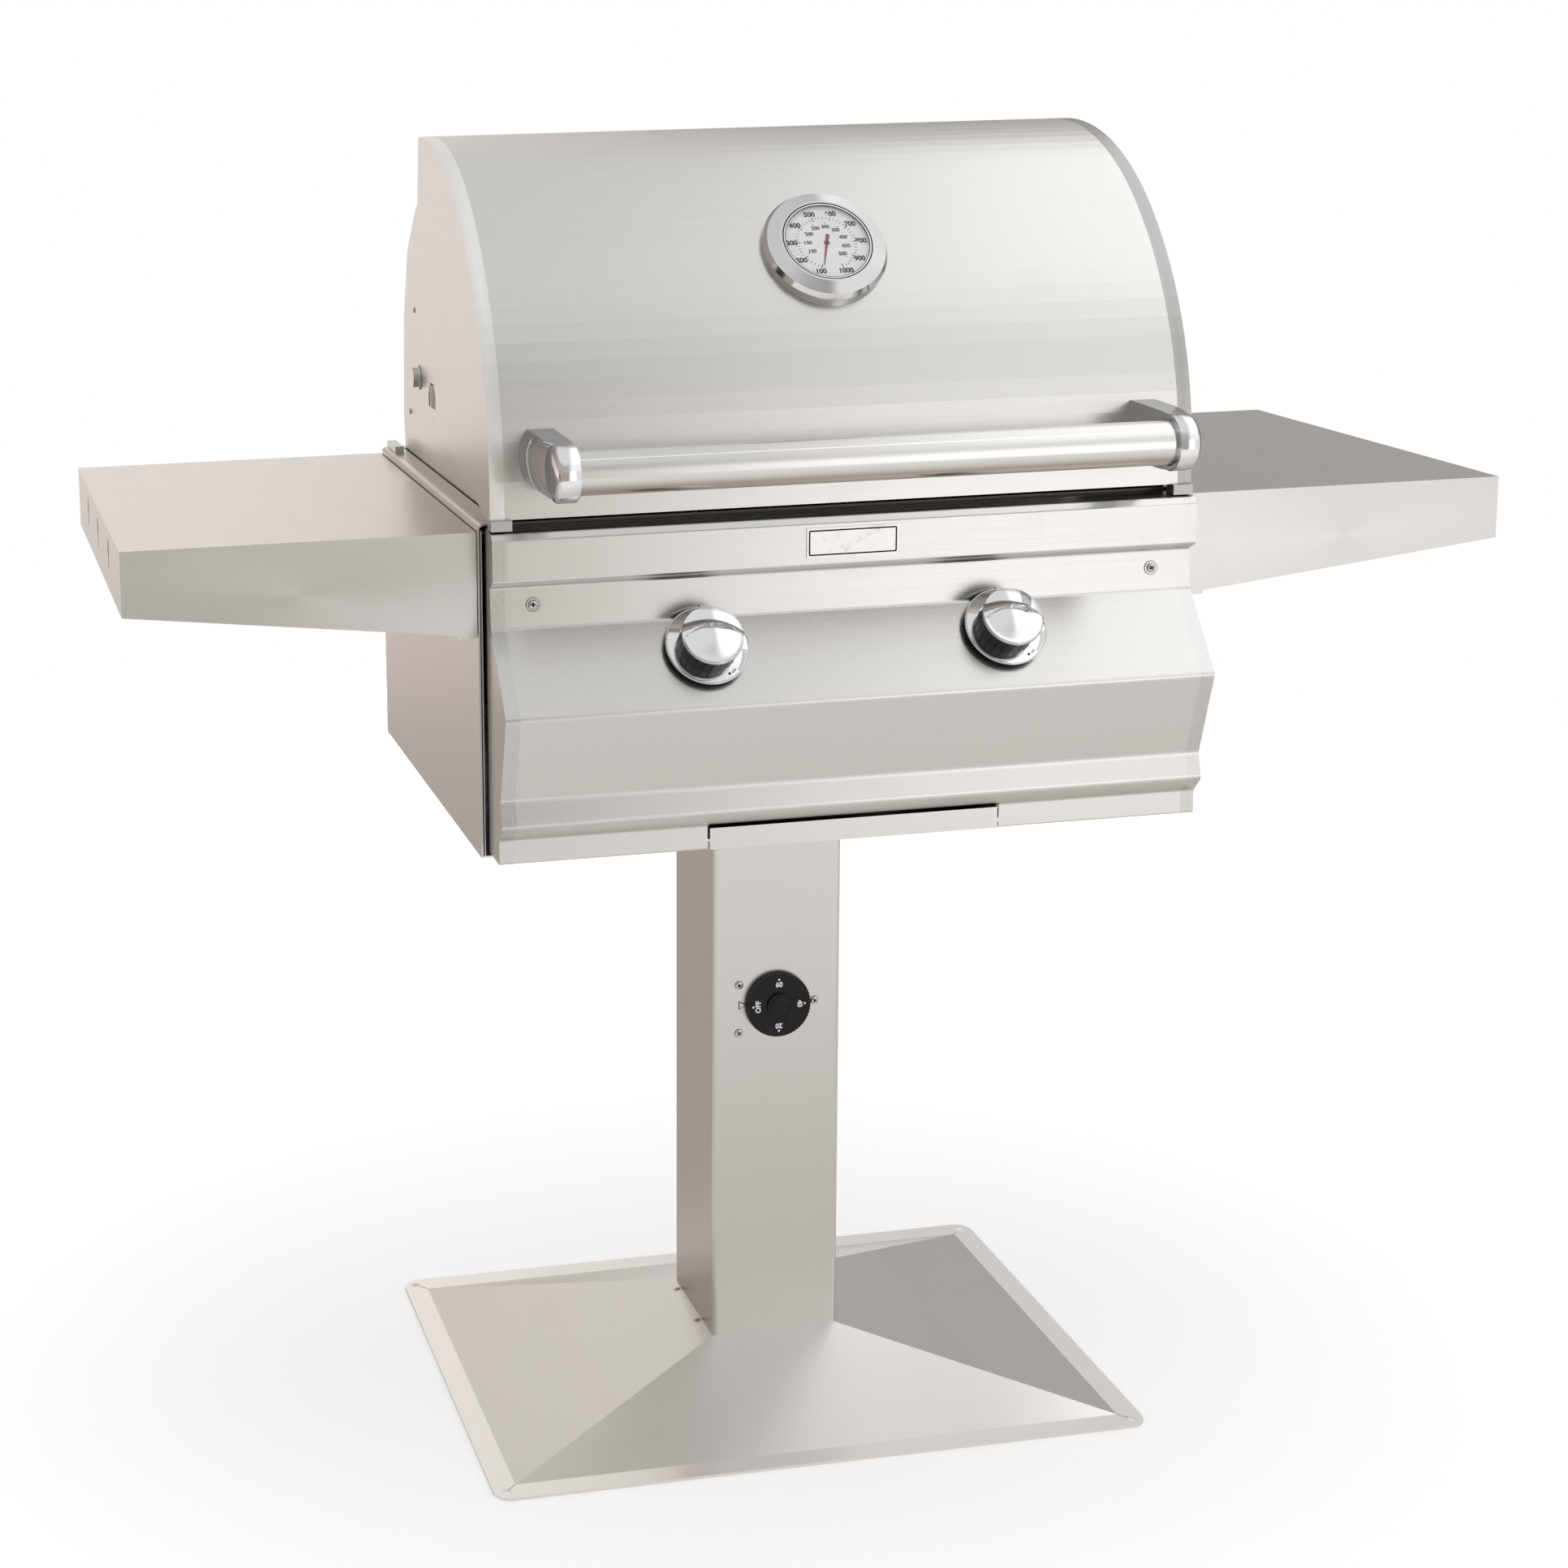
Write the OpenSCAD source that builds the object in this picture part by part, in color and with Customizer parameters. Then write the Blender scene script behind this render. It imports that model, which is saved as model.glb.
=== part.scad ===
// Gas grill on a square patio post with two side shelves
// Frame: middle of the base plate on the ground, X to the viewer's right, front at -Y, Z up

/* [Base] */
// Half width of base
base_half_x = 348.7; // [313:0.1:384]
// Half depth of base
base_half_y = 248.2; // [223:0.1:274]
// Corner radius of base
base_corner_r = 18; // [12:0.1:24]
// Sheet of base
base_sheet = 3; // [2.1:0.1:3.9]
// Flat border outside pyramid, sideways
base_border_x = 24.7; // [17:0.1:33]
// Flat border outside pyramid, to front
base_border_y = 25.2; // [17:0.1:33]
// Height of pyramid's flat top
base_top_z = 60.5; // [42:0.1:79]
// Radius of opening in pyramid's top
base_top_hole_r = 45; // [31:1:59]
// Anchor bolt hole from base's side edge
anchor_in_x = 13.2; // [9:0.1:18]
// Anchor bolt hole from base's front edge
anchor_in_y = 13.7; // [9:0.1:18]
// Radius of an anchor bolt hole
anchor_hole_r = 4.5; // [3:0.1:6]
// Width of slit left at each folded corner
mitre_slit_w = 1.2; // [0.8:0.05:1.6]

/* [Post] */
// Half width of square post
post_half = 70; // [49:1:91]
// Outer corner radius of post
post_corner_r = 6; // [4:0.1:8]
// Wall of post
post_wall = 3; // [2.1:0.1:3.9]
// Half width of post's top plate
post_plate_half = 115; // [103:1:127]
// Thickness of post's top plate
post_plate_t = 6; // [4:0.1:8]
// Corner radius of post's top plate
post_plate_corner_r = 8; // [5:0.1:11]
// Half width of opening in top plate
plate_open_half = 60; // [42:1:78]
// Post bolt from middle, both ways
post_bolt_x = 95; // [66:1:124]
// Radius of post bolt
post_bolt_r = 4; // [2:0.1:6]
// Radius of post bolt's hole
post_bolt_hole_r = 4.3; // [3:0.1:6]
// Radius of post bolt's low head
post_bolt_head_r = 8; // [5:0.1:11]
// Height of post bolt's low head
post_bolt_head_t = 3.6; // [2:0.1:5]
// Radius of post bolt's nut, at corners
post_nut_r = 7.5; // [5:0.1:10]
// Height of post bolt's nut
post_nut_t = 6.5; // [4:0.1:9]

/* [Timer] */
// Height of timer dial's middle
timer_z = 430.5; // [387:0.1:474]
// Radius of timer dial
timer_dial_r = 35; // [24:1:46]
// Depth of grip notches on dial's edge
timer_dial_notch = 0.9; // [0.6:0.05:1.2]
// Count of grip notches on dial
timer_dial_teeth = 60; // [30:1:90]
// Thickness of timer dial
timer_dial_t = 6; // [4:0.1:8]
// Gap between dial and post
timer_dial_gap = 1; // [0.6:0.05:1.3]
// Radius of raised button on dial
timer_hub_r = 13; // [9:0.1:17]
// Height of raised button on dial
timer_hub_t = 3; // [2.1:0.1:3.9]
// Radius of dial's shaft
timer_shaft_r = 4; // [2:0.1:6]
// Length of dial's shaft behind dial
timer_shaft_len = 24; // [16:1:32]
// Radial clearance of a turning or sliding fit
running_gap = 0.05; // [0:0.05:0.1]
// Radius of timer valve's boss in post wall
timer_boss_r = 12; // [8:0.1:16]
// Half width of timer valve's body
timer_box_x = 32; // [22:1:42]
// Half height of timer valve's body
timer_box_z = 34; // [23:1:45]
// Depth of timer valve's body
timer_box_depth = 62; // [43:1:81]
// Half width of timer valve's fixing plate
timer_plate_x = 50; // [35:1:65]
// Half height of timer valve's fixing plate
timer_plate_z = 38; // [26:1:50]
// Thickness of timer valve's fixing plate
timer_plate_t = 3; // [2.1:0.1:3.9]
// Left timer screws from middle
timer_screw_left_x = -41.7; // [-55:0.1:-29]
// Right timer screw from middle
timer_screw_right_x = 41.1; // [28:0.1:54]
// Upper timer screw above dial's middle
timer_screw_up = 23.3; // [16:0.1:31]
// Lower timer screw below dial's middle
timer_screw_down = -29.6; // [-39:0.1:-20]
// Shank radius of a timer screw
timer_screw_r = 1.9; // [1.3:0.05:2.5]
// Head radius of a timer screw
timer_screw_head_r = 4.15; // [2:0.1:6]
// Head height of a timer screw
timer_screw_head_t = 2.2; // [1.5:0.05:2.9]
// Radial gap round a fixed screw
screw_gap = 0.1; // [0.05:0.05:0.15]

/* [Gas line] */
// Outer radius of inlet pipe
inlet_r = 10.65; // [7:0.1:14]
// Wall of inlet pipe
inlet_wall = 2.8; // [1.9:0.05:3.7]
// Height of inlet pipe's open end
inlet_low_z = 30; // [21:1:39]
// Pipe line in post, depth
inlet_y = -25; // [-33:1:-17]
// Radius of pipe nut, at corners
pipe_nut_r = 15; // [10:0.1:20]
// Height of pipe nut
pipe_nut_t = 12; // [8:0.1:16]
// Outer radius of supply pipe
feed_r = 8; // [5:0.1:11]
// Wall of supply pipe
feed_wall = 1.5; // [1:0.05:2]
// Bend radius of supply pipe
feed_bend_r = 25; // [17:1:33]
// Height where supply pipe starts its jog
feed_jog_z = 560; // [504:1:616]
// Supply pipe line behind drip tray
feed_back_y = 50; // [35:1:65]
// Supply pipe line beside drip tray
feed_side_x = 165; // [148:1:182]
// Height of supply pipe's level run
feed_run_z = 690; // [621:1:759]
// Supply pipe line behind panel
feed_front_y = -272; // [-300:1:-244]
// Radius of supply pipe's hole in floor
feed_hole_r = 13; // [9:0.1:17]
// Manifold line, depth
rail_y = -275; // [-303:1:-247]
// Height of manifold
rail_z = 812; // [730:1:894]
// Outer radius of manifold
rail_r = 13.5; // [9:0.1:18]
// Wall of manifold
rail_wall = 2.5; // [1.7:0.05:3.3]
// Half length of manifold
rail_half = 192; // [172:1:212]
// Thickness of manifold end cap
rail_cap_t = 4; // [2:0.1:6]
// Radius of manifold end cap
rail_cap_r = 16; // [11:0.1:21]
// Half width of flat boss on manifold
rail_boss_half = 14; // [9:0.1:19]
// Height of valve boss over manifold's axis
rail_boss_up = 16; // [11:0.1:21]
// Depth of inlet boss under manifold's axis
rail_boss_down = 22; // [15:1:29]

/* [Body] */
// Outer face of body side from middle
body_x = 354.5; // [319:0.1:390]
// Front edge of body sides
body_front_y = -248; // [-273:1:-223]
// Back face of body
body_back_y = 240; // [216:1:264]
// Underside of body
body_low_z = 671; // [603:1:739]
// Top of body flange
body_top_z = 994.5; // [895:0.1:1094]
// Sheet of body
body_sheet = 1.8; // [1.2:0.05:2.4]
// Inner edge of side flange from middle
flange_in_x = 332.5; // [299:0.1:366]
// Inner edge of rear flange
flange_in_y = 222.8; // [200:0.1:246]
// Outer bend radius of side flange
flange_bend_r = 6; // [4:0.1:8]
// Gap between a body side and its inner sheet
inner_sheet_gap = 1.1; // [0.7:0.05:1.5]
// Thickness of an inner side sheet
inner_sheet_t = 1.3; // [0.9:0.05:1.7]
// Thickness of body floor
floor_t = 2; // [1.3:0.05:2.6]
// Count of vent slots in rear panel
vent_count = 6; // [3:1:9]
// Length of vent slot
vent_w = 60; // [42:1:78]
// Height of vent slot
vent_h = 9; // [6:0.1:12]
// Spacing of vent slots
vent_pitch = 90; // [63:1:117]
// Height of vent slots
vent_z = 770; // [693:1:847]
// Inner side of rear nub from middle
nub_x = 339; // [305:1:373]
// Front of rear nub
nub_front_y = 190; // [171:1:209]
// Back of rear nub
nub_back_y = 238; // [214:1:262]
// Height of rear nub
nub_h = 7; // [4:0.1:10]

/* [Firebox] */
// Outer face of firebox side from middle
liner_x = 331; // [297:1:365]
// Outer face of firebox front
liner_front_y = -247; // [-272:1:-222]
// Outer face of firebox back
liner_back_y = 221.6; // [199:0.1:244]
// Sheet of firebox
liner_sheet = 1.5; // [1:0.05:2]
// Height where firebox floor starts to slope
liner_funnel_z = 800; // [720:1:880]
// Half width of grease drain
drain_half_x = 60; // [42:1:78]
// Front edge of grease drain
drain_front_y = -110; // [-121:1:-99]
// Back edge of grease drain
drain_back_y = -10; // [-13:0.1:-7]
// Height of grease drain's edge
drain_z = 716; // [644:1:788]
// Height of outer ledge that carries firebox
liner_ledge_z = 985; // [886:1:1084]
// Underside of ledge that carries grids
grid_ledge_z = 958; // [862:1:1054]
// Underside of ledge that carries heat shields
shield_ledge_z = 903; // [812:1:994]
// Width of inner ledges
ledge_w = 15; // [10:0.1:20]

/* [Cooking grids] */
// Half gap between grids
grid_gap_half = 2; // [1.3:0.05:2.6]
// Outer side of a grid from middle
grid_out_x = 322; // [289:1:355]
// Front of grid
grid_front_y = -240; // [-264:1:-216]
// Back of grid
grid_back_y = 214; // [192:1:236]
// Radius of grid rod
grid_rod_r = 4; // [2:0.1:6]
// Spacing of grid rods
grid_rod_pitch = 20; // [14:1:26]
// Thickness of grid end bar
grid_bar_t = 6; // [4:0.1:8]
// Height of grid end bar
grid_bar_h = 10; // [7:0.1:13]
// Thickness of grid cross bar
grid_cross_t = 5; // [3:0.1:7]
// Height of grid cross bar
grid_cross_h = 8; // [5:0.1:11]
// Half width of heat shield
shield_half = 44; // [30:1:58]
// Rise of a heat shield's ridge
shield_rise = 26; // [18:1:34]
// Underside of warming rack
rack_z = 1118; // [1006:1:1230]
// Front of warming rack
rack_front_y = 88; // [61:1:115]
// Back of warming rack
rack_back_y = 196; // [176:1:216]
// Radius of warming rack rod
rack_rod_r = 2.5; // [1.7:0.05:3.3]
// Spacing of warming rack rods
rack_rod_pitch = 18; // [12:0.1:24]
// Thickness of warming rack bar
rack_bar_t = 5; // [3:0.1:7]
// Height of warming rack bar
rack_bar_h = 10; // [7:0.1:13]

/* [Burners] */
// Burner and knob line from middle
burner_x = 147.5; // [132:0.1:163]
// Burner leg from burner's middle
burner_leg_x = 75; // [52:1:98]
// Outer radius of burner tube
burner_r = 19; // [13:0.1:25]
// Wall of burner tube
burner_wall = 1.2; // [0.8:0.05:1.6]
// Height of burners
burner_z = 850; // [765:1:935]
// Cross tube line of a burner
burner_front_y = -150; // [-165:1:-135]
// Bend radius of a burner tube
burner_bend_r = 30; // [21:1:39]
// Closed end of a burner leg
burner_back_y = 200; // [180:1:220]
// Radius of burner's rear lug
burner_lug_r = 6; // [4:0.1:8]
// Outer radius of burner's mixing tube
venturi_r = 15; // [10:0.1:20]
// Open end of a burner's mixing tube
venturi_front_y = -253; // [-279:1:-227]
// Radial gap round mixing tube in firebox wall
venturi_gap = 0.4; // [0.25:0.05:0.55]
// Radius of burner port
port_r = 1.6; // [1.1:0.05:2.1]
// Spacing of burner ports
port_pitch = 17; // [11:0.1:23]
// Count of ports along one burner leg
port_count = 15; // [8:1:22]
// Radius of an igniter's ceramic
igniter_r = 4; // [2:0.1:6]
// Length of an igniter's ceramic
igniter_len = 55; // [38:1:72]
// Radius of an igniter's wire
igniter_wire_r = 1.2; // [0.8:0.05:1.6]
// Length of an igniter's bare wire
igniter_wire_len = 12; // [8:0.1:16]
// Height of an igniter
igniter_z = 884; // [795:1:973]

/* [Control panel] */
// Half width of panel
panel_half_x = 348; // [313:1:383]
// Sheet of panel
panel_sheet = 1.5; // [1:0.05:2]
// Width of polished end band
cap_w = 14; // [9:0.1:19]
// Back edge of panel's top
panel_back_y = -250.5; // [-276:0.1:-225]
// Top of panel at its back edge
panel_top_z = 992; // [892:1:1092]
// Front of panel's crowned top
panel_brow_y = -277; // [-305:1:-249]
// Height of panel's crowned top at front
panel_brow_z = 989.5; // [890:0.1:1089]
// Front of upper lobe
panel_lobe_y = -282.5; // [-311:0.1:-254]
// Lower bend of upper lobe
panel_lobe_z = 944; // [849:1:1039]
// Depth of step under lobe
panel_neck_y = -269.6; // [-297:0.1:-242]
// Height of step under lobe
panel_neck_z = 937.5; // [843:0.1:1032]
// Top bend of sloped knob face, depth
panel_brink_y = -273.4; // [-301:0.1:-246]
// Top bend of sloped knob face, height
panel_brink_z = 898.7; // [808:0.1:989]
// Lower bend of sloped knob face, depth
panel_ridge_y = -331; // [-365:1:-297]
// Lower bend of sloped knob face, height
panel_ridge_z = 825.6; // [743:0.1:909]
// Depth of waist under knob face
panel_waist_y = -304; // [-335:1:-273]
// Height of waist under knob face
panel_waist_z = 741.4; // [667:0.1:816]
// Front of lower bead
panel_bead_y = -311; // [-343:1:-279]
// Height of lower bead
panel_bead_z = 717; // [645:1:789]
// Front of lower lip
panel_lip_y = -296.5; // [-327:0.1:-266]
// Height of lower lip's top bend
panel_lip_z = 701.5; // [631:0.1:772]
// Lower edge of panel
panel_low_z = 678.1; // [610:0.1:746]
// Depth of turned lower hem
panel_hem = 14; // [9:0.1:19]
// Radius of tight bends
tight_r = 3; // [2.1:0.1:3.9]
// Radius of middle bends
mid_r = 6; // [4:0.1:8]
// Radius of wide bends
wide_r = 9; // [6:0.1:12]
// Panel screw from panel's end
panel_screw_in = 40.5; // [28:0.1:53]
// Height of panel screws
panel_screw_z = 920.3; // [828:0.1:1013]
// Shank radius of a panel screw
panel_screw_r = 2.4; // [1.6:0.05:3.2]
// Shank length of a panel screw
panel_screw_len = 9; // [6:0.1:12]
// Head radius of a panel screw
panel_screw_head_r = 4.25; // [2:0.1:6]
// Head height of a panel screw
panel_screw_head_t = 3; // [2.1:0.1:3.9]
// Radius of panel screw's washer
panel_washer_r = 7; // [4:0.1:10]
// Thickness of panel screw's washer
panel_washer_t = 1.4; // [0.9:0.05:1.9]
// Half width of bare nameplate
plate_half_x = 45.5; // [31:0.1:60]
// Lower edge of bare nameplate
plate_low_z = 951.5; // [856:0.1:1047]
// Upper edge of bare nameplate
plate_high_z = 980; // [882:1:1078]
// Thickness of bare nameplate
plate_t = 1.2; // [0.8:0.05:1.6]

/* [Valves and knobs] */
// Knob middle below top bend, along face
knob_down = 33; // [23:1:43]
// Radius of knob hole in panel
knob_hole_r = 7; // [4:0.1:10]
// Radius of knob's black collar
bezel_r = 28; // [19:1:37]
// Thickness of knob's black collar
bezel_t = 2; // [1.3:0.05:2.6]
// Radius of valve body
valve_r = 14; // [9:0.1:19]
// Length of valve body
valve_len = 36; // [25:1:47]
// Radius of valve's neck on manifold
valve_neck_r = 10; // [7:0.1:13]
// Line of a valve's neck, depth
valve_neck_y = -273; // [-301:1:-245]
// Radius of valve's nozzle
nozzle_r = 6; // [4:0.1:8]
// Tip of a valve's nozzle
nozzle_tip_y = -247.5; // [-273:0.1:-222]
// Radius of valve's turning plug
plug_r = 7.5; // [5:0.1:10]
// Length of valve's turning plug
plug_len = 20; // [14:1:26]
// End gap of turning plug
plug_end_gap = 0.4; // [0.25:0.05:0.55]
// Radius of valve's stem
stem_r = 4; // [2:0.1:6]
// Length of valve's stem in front of face
stem_len = 26; // [18:1:34]
// Distance from stem's axis to its flat
stem_flat = 2.6; // [1.8:0.05:3.4]
// Travel of a knob when it is pressed
knob_travel = 2.2; // [1.5:0.05:2.9]
// Radius of knob's skirt
skirt_r = 40; // [28:1:52]
// Back of skirt's rim over face
skirt_rim_low = 7.2; // [5:0.1:10]
// Thickness of skirt's sheet
skirt_rim_t = 1.4; // [0.9:0.05:1.9]
// Radius of skirt's inner foot
skirt_foot_r = 28.5; // [19:0.1:38]
// Rise of skirt from its rim to its foot
skirt_rise = 1.9; // [1.3:0.05:2.5]
// Radius of knob's black grip band
grip_r = 27.5; // [19:0.1:36]
// Front of grip band over face
grip_high = 27; // [18:1:36]
// Radius of knob's cap
cap_r = 29.5; // [20:0.1:39]
// Back of knob's cap over face
cap_low = 27; // [18:1:36]
// Widest edge of a knob's cap over face
cap_edge = 31.5; // [22:0.1:41]
// Top of a knob's domed cap over face
cap_high = 37.5; // [26:0.1:49]
// Radius of curved step on a knob's cap
cap_step_r = 48; // [33:1:63]
// Middle of curved step, from knob axis
cap_step_y = -40; // [-52:1:-28]
// Floor of curved step over face
cap_step_z = 33.6; // [23:0.1:44]
// Radius of pocket for stem in a knob's cap
cap_pocket_r = 6; // [4:0.1:8]

/* [Drip tray] */
// Half width of drip tray's pan
tray_half_x = 134; // [120:1:148]
// Back of drip tray
tray_back_y = 30; // [21:1:39]
// Underside of drip tray
tray_low_z = 681; // [612:1:750]
// Underside of drip tray's side rims
tray_rim_z = 698.2; // [628:0.1:769]
// Sheet of drip tray
tray_sheet = 1.2; // [0.8:0.05:1.6]
// Outer edge of drip tray's side rims
tray_rim_half_x = 142; // [127:1:157]
// Half width of drip tray's front lip
tray_lip_half_x = 144; // [129:1:159]
// Front face of drip tray's lip
tray_lip_y = -298.2; // [-329:0.1:-268]
// Lower edge of drip tray's lip
tray_lip_low_z = 678.5; // [610:0.1:747]
// Upper edge of drip tray's lip
tray_lip_high_z = 699.4; // [629:0.1:770]
// Half width of tray notch in panel
tray_notch_half_x = 146; // [131:1:161]
// Top of tray notch in panel
tray_notch_top_z = 703.3; // [632:0.1:774]
// Inner edge of a tray runner's ledge
runner_ledge_x = 136.5; // [122:0.1:151]
// Inner face of a tray runner's web
runner_web_x = 144.5; // [130:0.1:159]
// Outer edge of a tray runner's foot
runner_foot_x = 157; // [141:1:173]
// Sheet of a tray runner
runner_sheet = 1.5; // [1:0.05:2]
// Front end of tray runners
runner_front_y = -244; // [-269:1:-219]
// Back end of tray runners
runner_back_y = 34; // [23:1:45]
// Gap between tray's rims and runners
slide_gap = 0.3; // [0.2:0.05:0.4]

/* [Rear enclosure] */
// Sheet of enclosure
wing_sheet = 1.5; // [1:0.05:2]
// Height of wing's front end
wing_front_z = 1010; // [909:1:1111]
// Wing's upper knee, depth
wing_knee_y = 30; // [21:1:39]
// Height of wing's upper knee
wing_knee_z = 1084; // [975:1:1193]
// Fullest point of enclosure's back, depth
cover_belly_y = 227.5; // [204:0.1:251]
// Fullest point of enclosure's back, height
cover_belly_z = 1028.8; // [925:0.1:1132]
// Middle of enclosure's back, depth
cover_waist_y = 217.7; // [195:0.1:240]
// Middle of enclosure's back, height
cover_waist_z = 1139.6; // [1025:0.1:1254]
// Shoulder of enclosure, depth
cover_shoulder_y = 191; // [171:1:211]
// Shoulder of enclosure, height
cover_shoulder_z = 1215; // [1093:1:1337]
// Crown of enclosure, depth
cover_crown_y = 131.4; // [118:0.1:145]
// Crown of enclosure, height
cover_crown_z = 1268.8; // [1141:0.1:1396]
// Front lip of enclosure, depth
cover_lip_y = 48; // [33:1:63]
// Front lip of enclosure, height
cover_lip_z = 1286; // [1157:1:1415]
// Bend radius of enclosure's back
cover_round = 60; // [42:1:78]
// Rivet line, depth
rivet_y = 158.4; // [142:0.1:175]
// Height of upper rivets
rivet_z = 1152.7; // [1037:0.1:1268]
// Lower rivet line, depth
rivet_low_y = 190; // [171:1:209]
// Height of lower rivets
rivet_low_z = 1040; // [936:1:1144]
// Head radius of a rivet
rivet_r = 3.2; // [2:0.1:5]
// Head height of a rivet
rivet_t = 1.6; // [1.1:0.05:2.1]
// Shank radius of a rivet
rivet_shank_r = 1.6; // [1.1:0.05:2.1]
// Length of rivet tabs behind wings
rivet_tab = 14; // [9:0.1:19]

/* [Hinge] */
// Hinge axis, depth
hinge_y = 56; // [39:1:73]
// Height of hinge axis
hinge_z = 1094; // [984:1:1204]
// Radius of hinge bolt
hinge_r = 5; // [3:0.1:7]
// Radius of hinge bolt's head
hinge_head_r = 10; // [7:0.1:13]
// Height of hinge bolt's head
hinge_head_t = 6; // [4:0.1:8]
// Radius of hinge washer
hinge_washer_r = 12.5; // [8:0.1:17]
// Thickness of hinge washer
hinge_washer_t = 1.5; // [1:0.05:2]
// Radius of hinge spacer
hinge_spacer_r = 9; // [6:0.1:12]
// Radius of hinge nut, at corners
hinge_nut_r = 9.2; // [6:0.1:12]
// Height of hinge nut
hinge_nut_t = 7; // [4:0.1:10]
// Gap between parts that pass each other
side_gap = 0.3; // [0.2:0.05:0.4]
// Radius of hood side's corner at hinge
hinge_ear_r = 14; // [9:0.1:19]

/* [Hood] */
// Half width of hood
hood_half_x = 347; // [312:1:382]
// Sheet of hood
hood_sheet = 1.2; // [0.8:0.05:1.6]
// Lower edge of hood
hood_low_z = 1001; // [900:1:1102]
// Middle of hood's front curve, depth
hood_centre_y = 68; // [47:1:89]
// Middle of hood's front curve, height
hood_centre_z = 1018; // [916:1:1120]
// Radius of hood's front curve
hood_front_r = 338; // [304:1:372]
// Radius of hood's top curve
hood_top_r = 272; // [244:1:300]
// Angle where two curves of hood meet
hood_change = 50; // [40:1:60]
// Back edge of hood's top
hood_back_y = 38; // [26:1:50]
// Count of strips in hood's front curve
hood_front_steps = 16; // [8:1:24]
// Count of strips in hood's top curve
hood_top_steps = 14; // [7:1:21]
// Depth of hood's turned hems
hood_hem = 11; // [7:0.1:15]
// Back corner of hood side, depth
hood_corner_y = 81; // [56:1:106]
// Back corner of hood side, height
hood_corner_z = 1085.6; // [977:0.1:1195]
// Front end of hood side's slanted edge
hood_slant_y = -250; // [-275:1:-225]
// Middle of spit rod hole, depth
spit_y = -9.5; // [-13:0.1:-6]
// Lower end of spit rod hole
spit_low_z = 1071; // [963:1:1179]
// Upper end of spit rod hole
spit_high_z = 1096; // [986:1:1206]
// Width of spit rod hole
spit_wide = 34; // [23:1:45]
// Width of spit rod hole's neck
spit_narrow = 16; // [11:0.1:21]
// Height of spit rod hole's neck
spit_neck_h = 11; // [7:0.1:15]
// Width of a hood pad
pad_w = 20; // [14:1:26]
// Reach of a hood pad in front of hood
pad_front = 5; // [3:0.1:7]
// Underside of a hood pad
pad_low_z = 991.3; // [892:0.1:1091]

/* [Handle] */
// Handle tube axis, depth
handle_y = -345; // [-380:1:-310]
// Handle tube axis, height
handle_z = 1055; // [949:1:1161]
// Outer radius of handle tube
handle_r = 21; // [14:1:28]
// Wall of handle tube
handle_wall = 1.5; // [1:0.05:2]
// Visible end of handle tube from hood's end
handle_end_in = 62; // [43:1:81]
// Depth of handle tube in its bracket
handle_socket = 9; // [6:0.1:12]
// Outer radius of handle bracket's collar
collar_r = 27; // [18:1:36]
// Length of a bracket's straight collar
collar_len = 18; // [12:0.1:24]
// Length of a bracket's dome
dome_len = 6; // [4:0.1:8]
// Radius of bracket's flat end
dome_r = 20; // [14:1:26]
// Width of a bracket's foot
foot_w = 33; // [23:1:43]
// Top of a bracket's foot
foot_top_z = 1084; // [975:1:1193]
// Lower end of a bracket's foot
foot_low_z = 1027; // [924:1:1130]
// Radius of handle bolt
handle_bolt_r = 3; // [2.1:0.1:3.9]
// Handle bolt above and below foot's middle
handle_bolt_up = 14; // [9:0.1:19]
// Length of handle bolt
handle_bolt_len = 16; // [11:0.1:21]
// Radius of handle nut
handle_nut_r = 6.2; // [4:0.1:9]
// Height of handle nut
handle_nut_t = 5; // [3:0.1:7]

/* [Thermometer] */
// Place of thermometer round front curve
thermo_turn = 39.4; // [29:0.1:49]
// Outer radius of thermometer's bezel
bezel_out_r = 61; // [42:1:80]
// Height of bezel's side wall
bezel_wall_z = 6; // [4:0.1:8]
// Radius of bezel's front ring
bezel_ring_r = 58; // [40:1:76]
// Height of bezel's front ring
bezel_ring_z = 11; // [7:0.1:15]
// Inner radius of bezel
bezel_inner_r = 44; // [30:1:58]
// Radius of bezel's crest
bezel_crest_r = 46; // [32:1:60]
// Depth of bezel's skirt beside curved hood
bezel_skirt_low = 6; // [4:0.1:8]
// Thickness of bezel's skirt
bezel_skirt_t = 2; // [1.3:0.05:2.6]
// Inner radius of seat under dial
dial_seat_r = 41; // [28:1:54]
// Inner radius of seat under glass
glass_seat_r = 42.5; // [29:0.1:56]
// Top of bezel
bezel_top_z = 15.5; // [10:0.1:21]
// Underside of thermometer's case floor
thermo_floor_z = 3; // [2.1:0.1:3.9]
// Thickness of thermometer's case floor
thermo_floor_t = 2; // [1.3:0.05:2.6]
// Underside of thermometer's dial
dial_z = 10; // [7:0.1:13]
// Thickness of thermometer's dial
dial_t = 1; // [0.6:0.05:1.3]
// Underside of thermometer's glass
glass_z = 13.6; // [9:0.1:18]
// Thickness of thermometer's glass
glass_t = 1.4; // [0.9:0.05:1.9]
// Radius of thermometer's probe
probe_r = 4; // [2:0.1:6]
// Length of probe inside hood
probe_len = 62; // [43:1:81]
// Radius of thermometer's nut, at corners
probe_nut_r = 11; // [7:0.1:15]
// Far side of thermometer's nut under hood
probe_nut_low = 9; // [6:0.1:12]
// Near side of thermometer's nut under hood
probe_nut_high = 2.5; // [1.7:0.05:3.3]
// Underside of needle
needle_z = 12; // [8:0.1:16]
// Thickness of needle
needle_t = 0.6; // [0.4:0.05:0.8]
// Length of needle's pointer
needle_len = 27; // [18:1:36]
// Length of needle's tail
needle_tail = 10; // [7:0.1:13]
// Width of needle's pointer
needle_w = 2.2; // [1.5:0.05:2.9]
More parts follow.
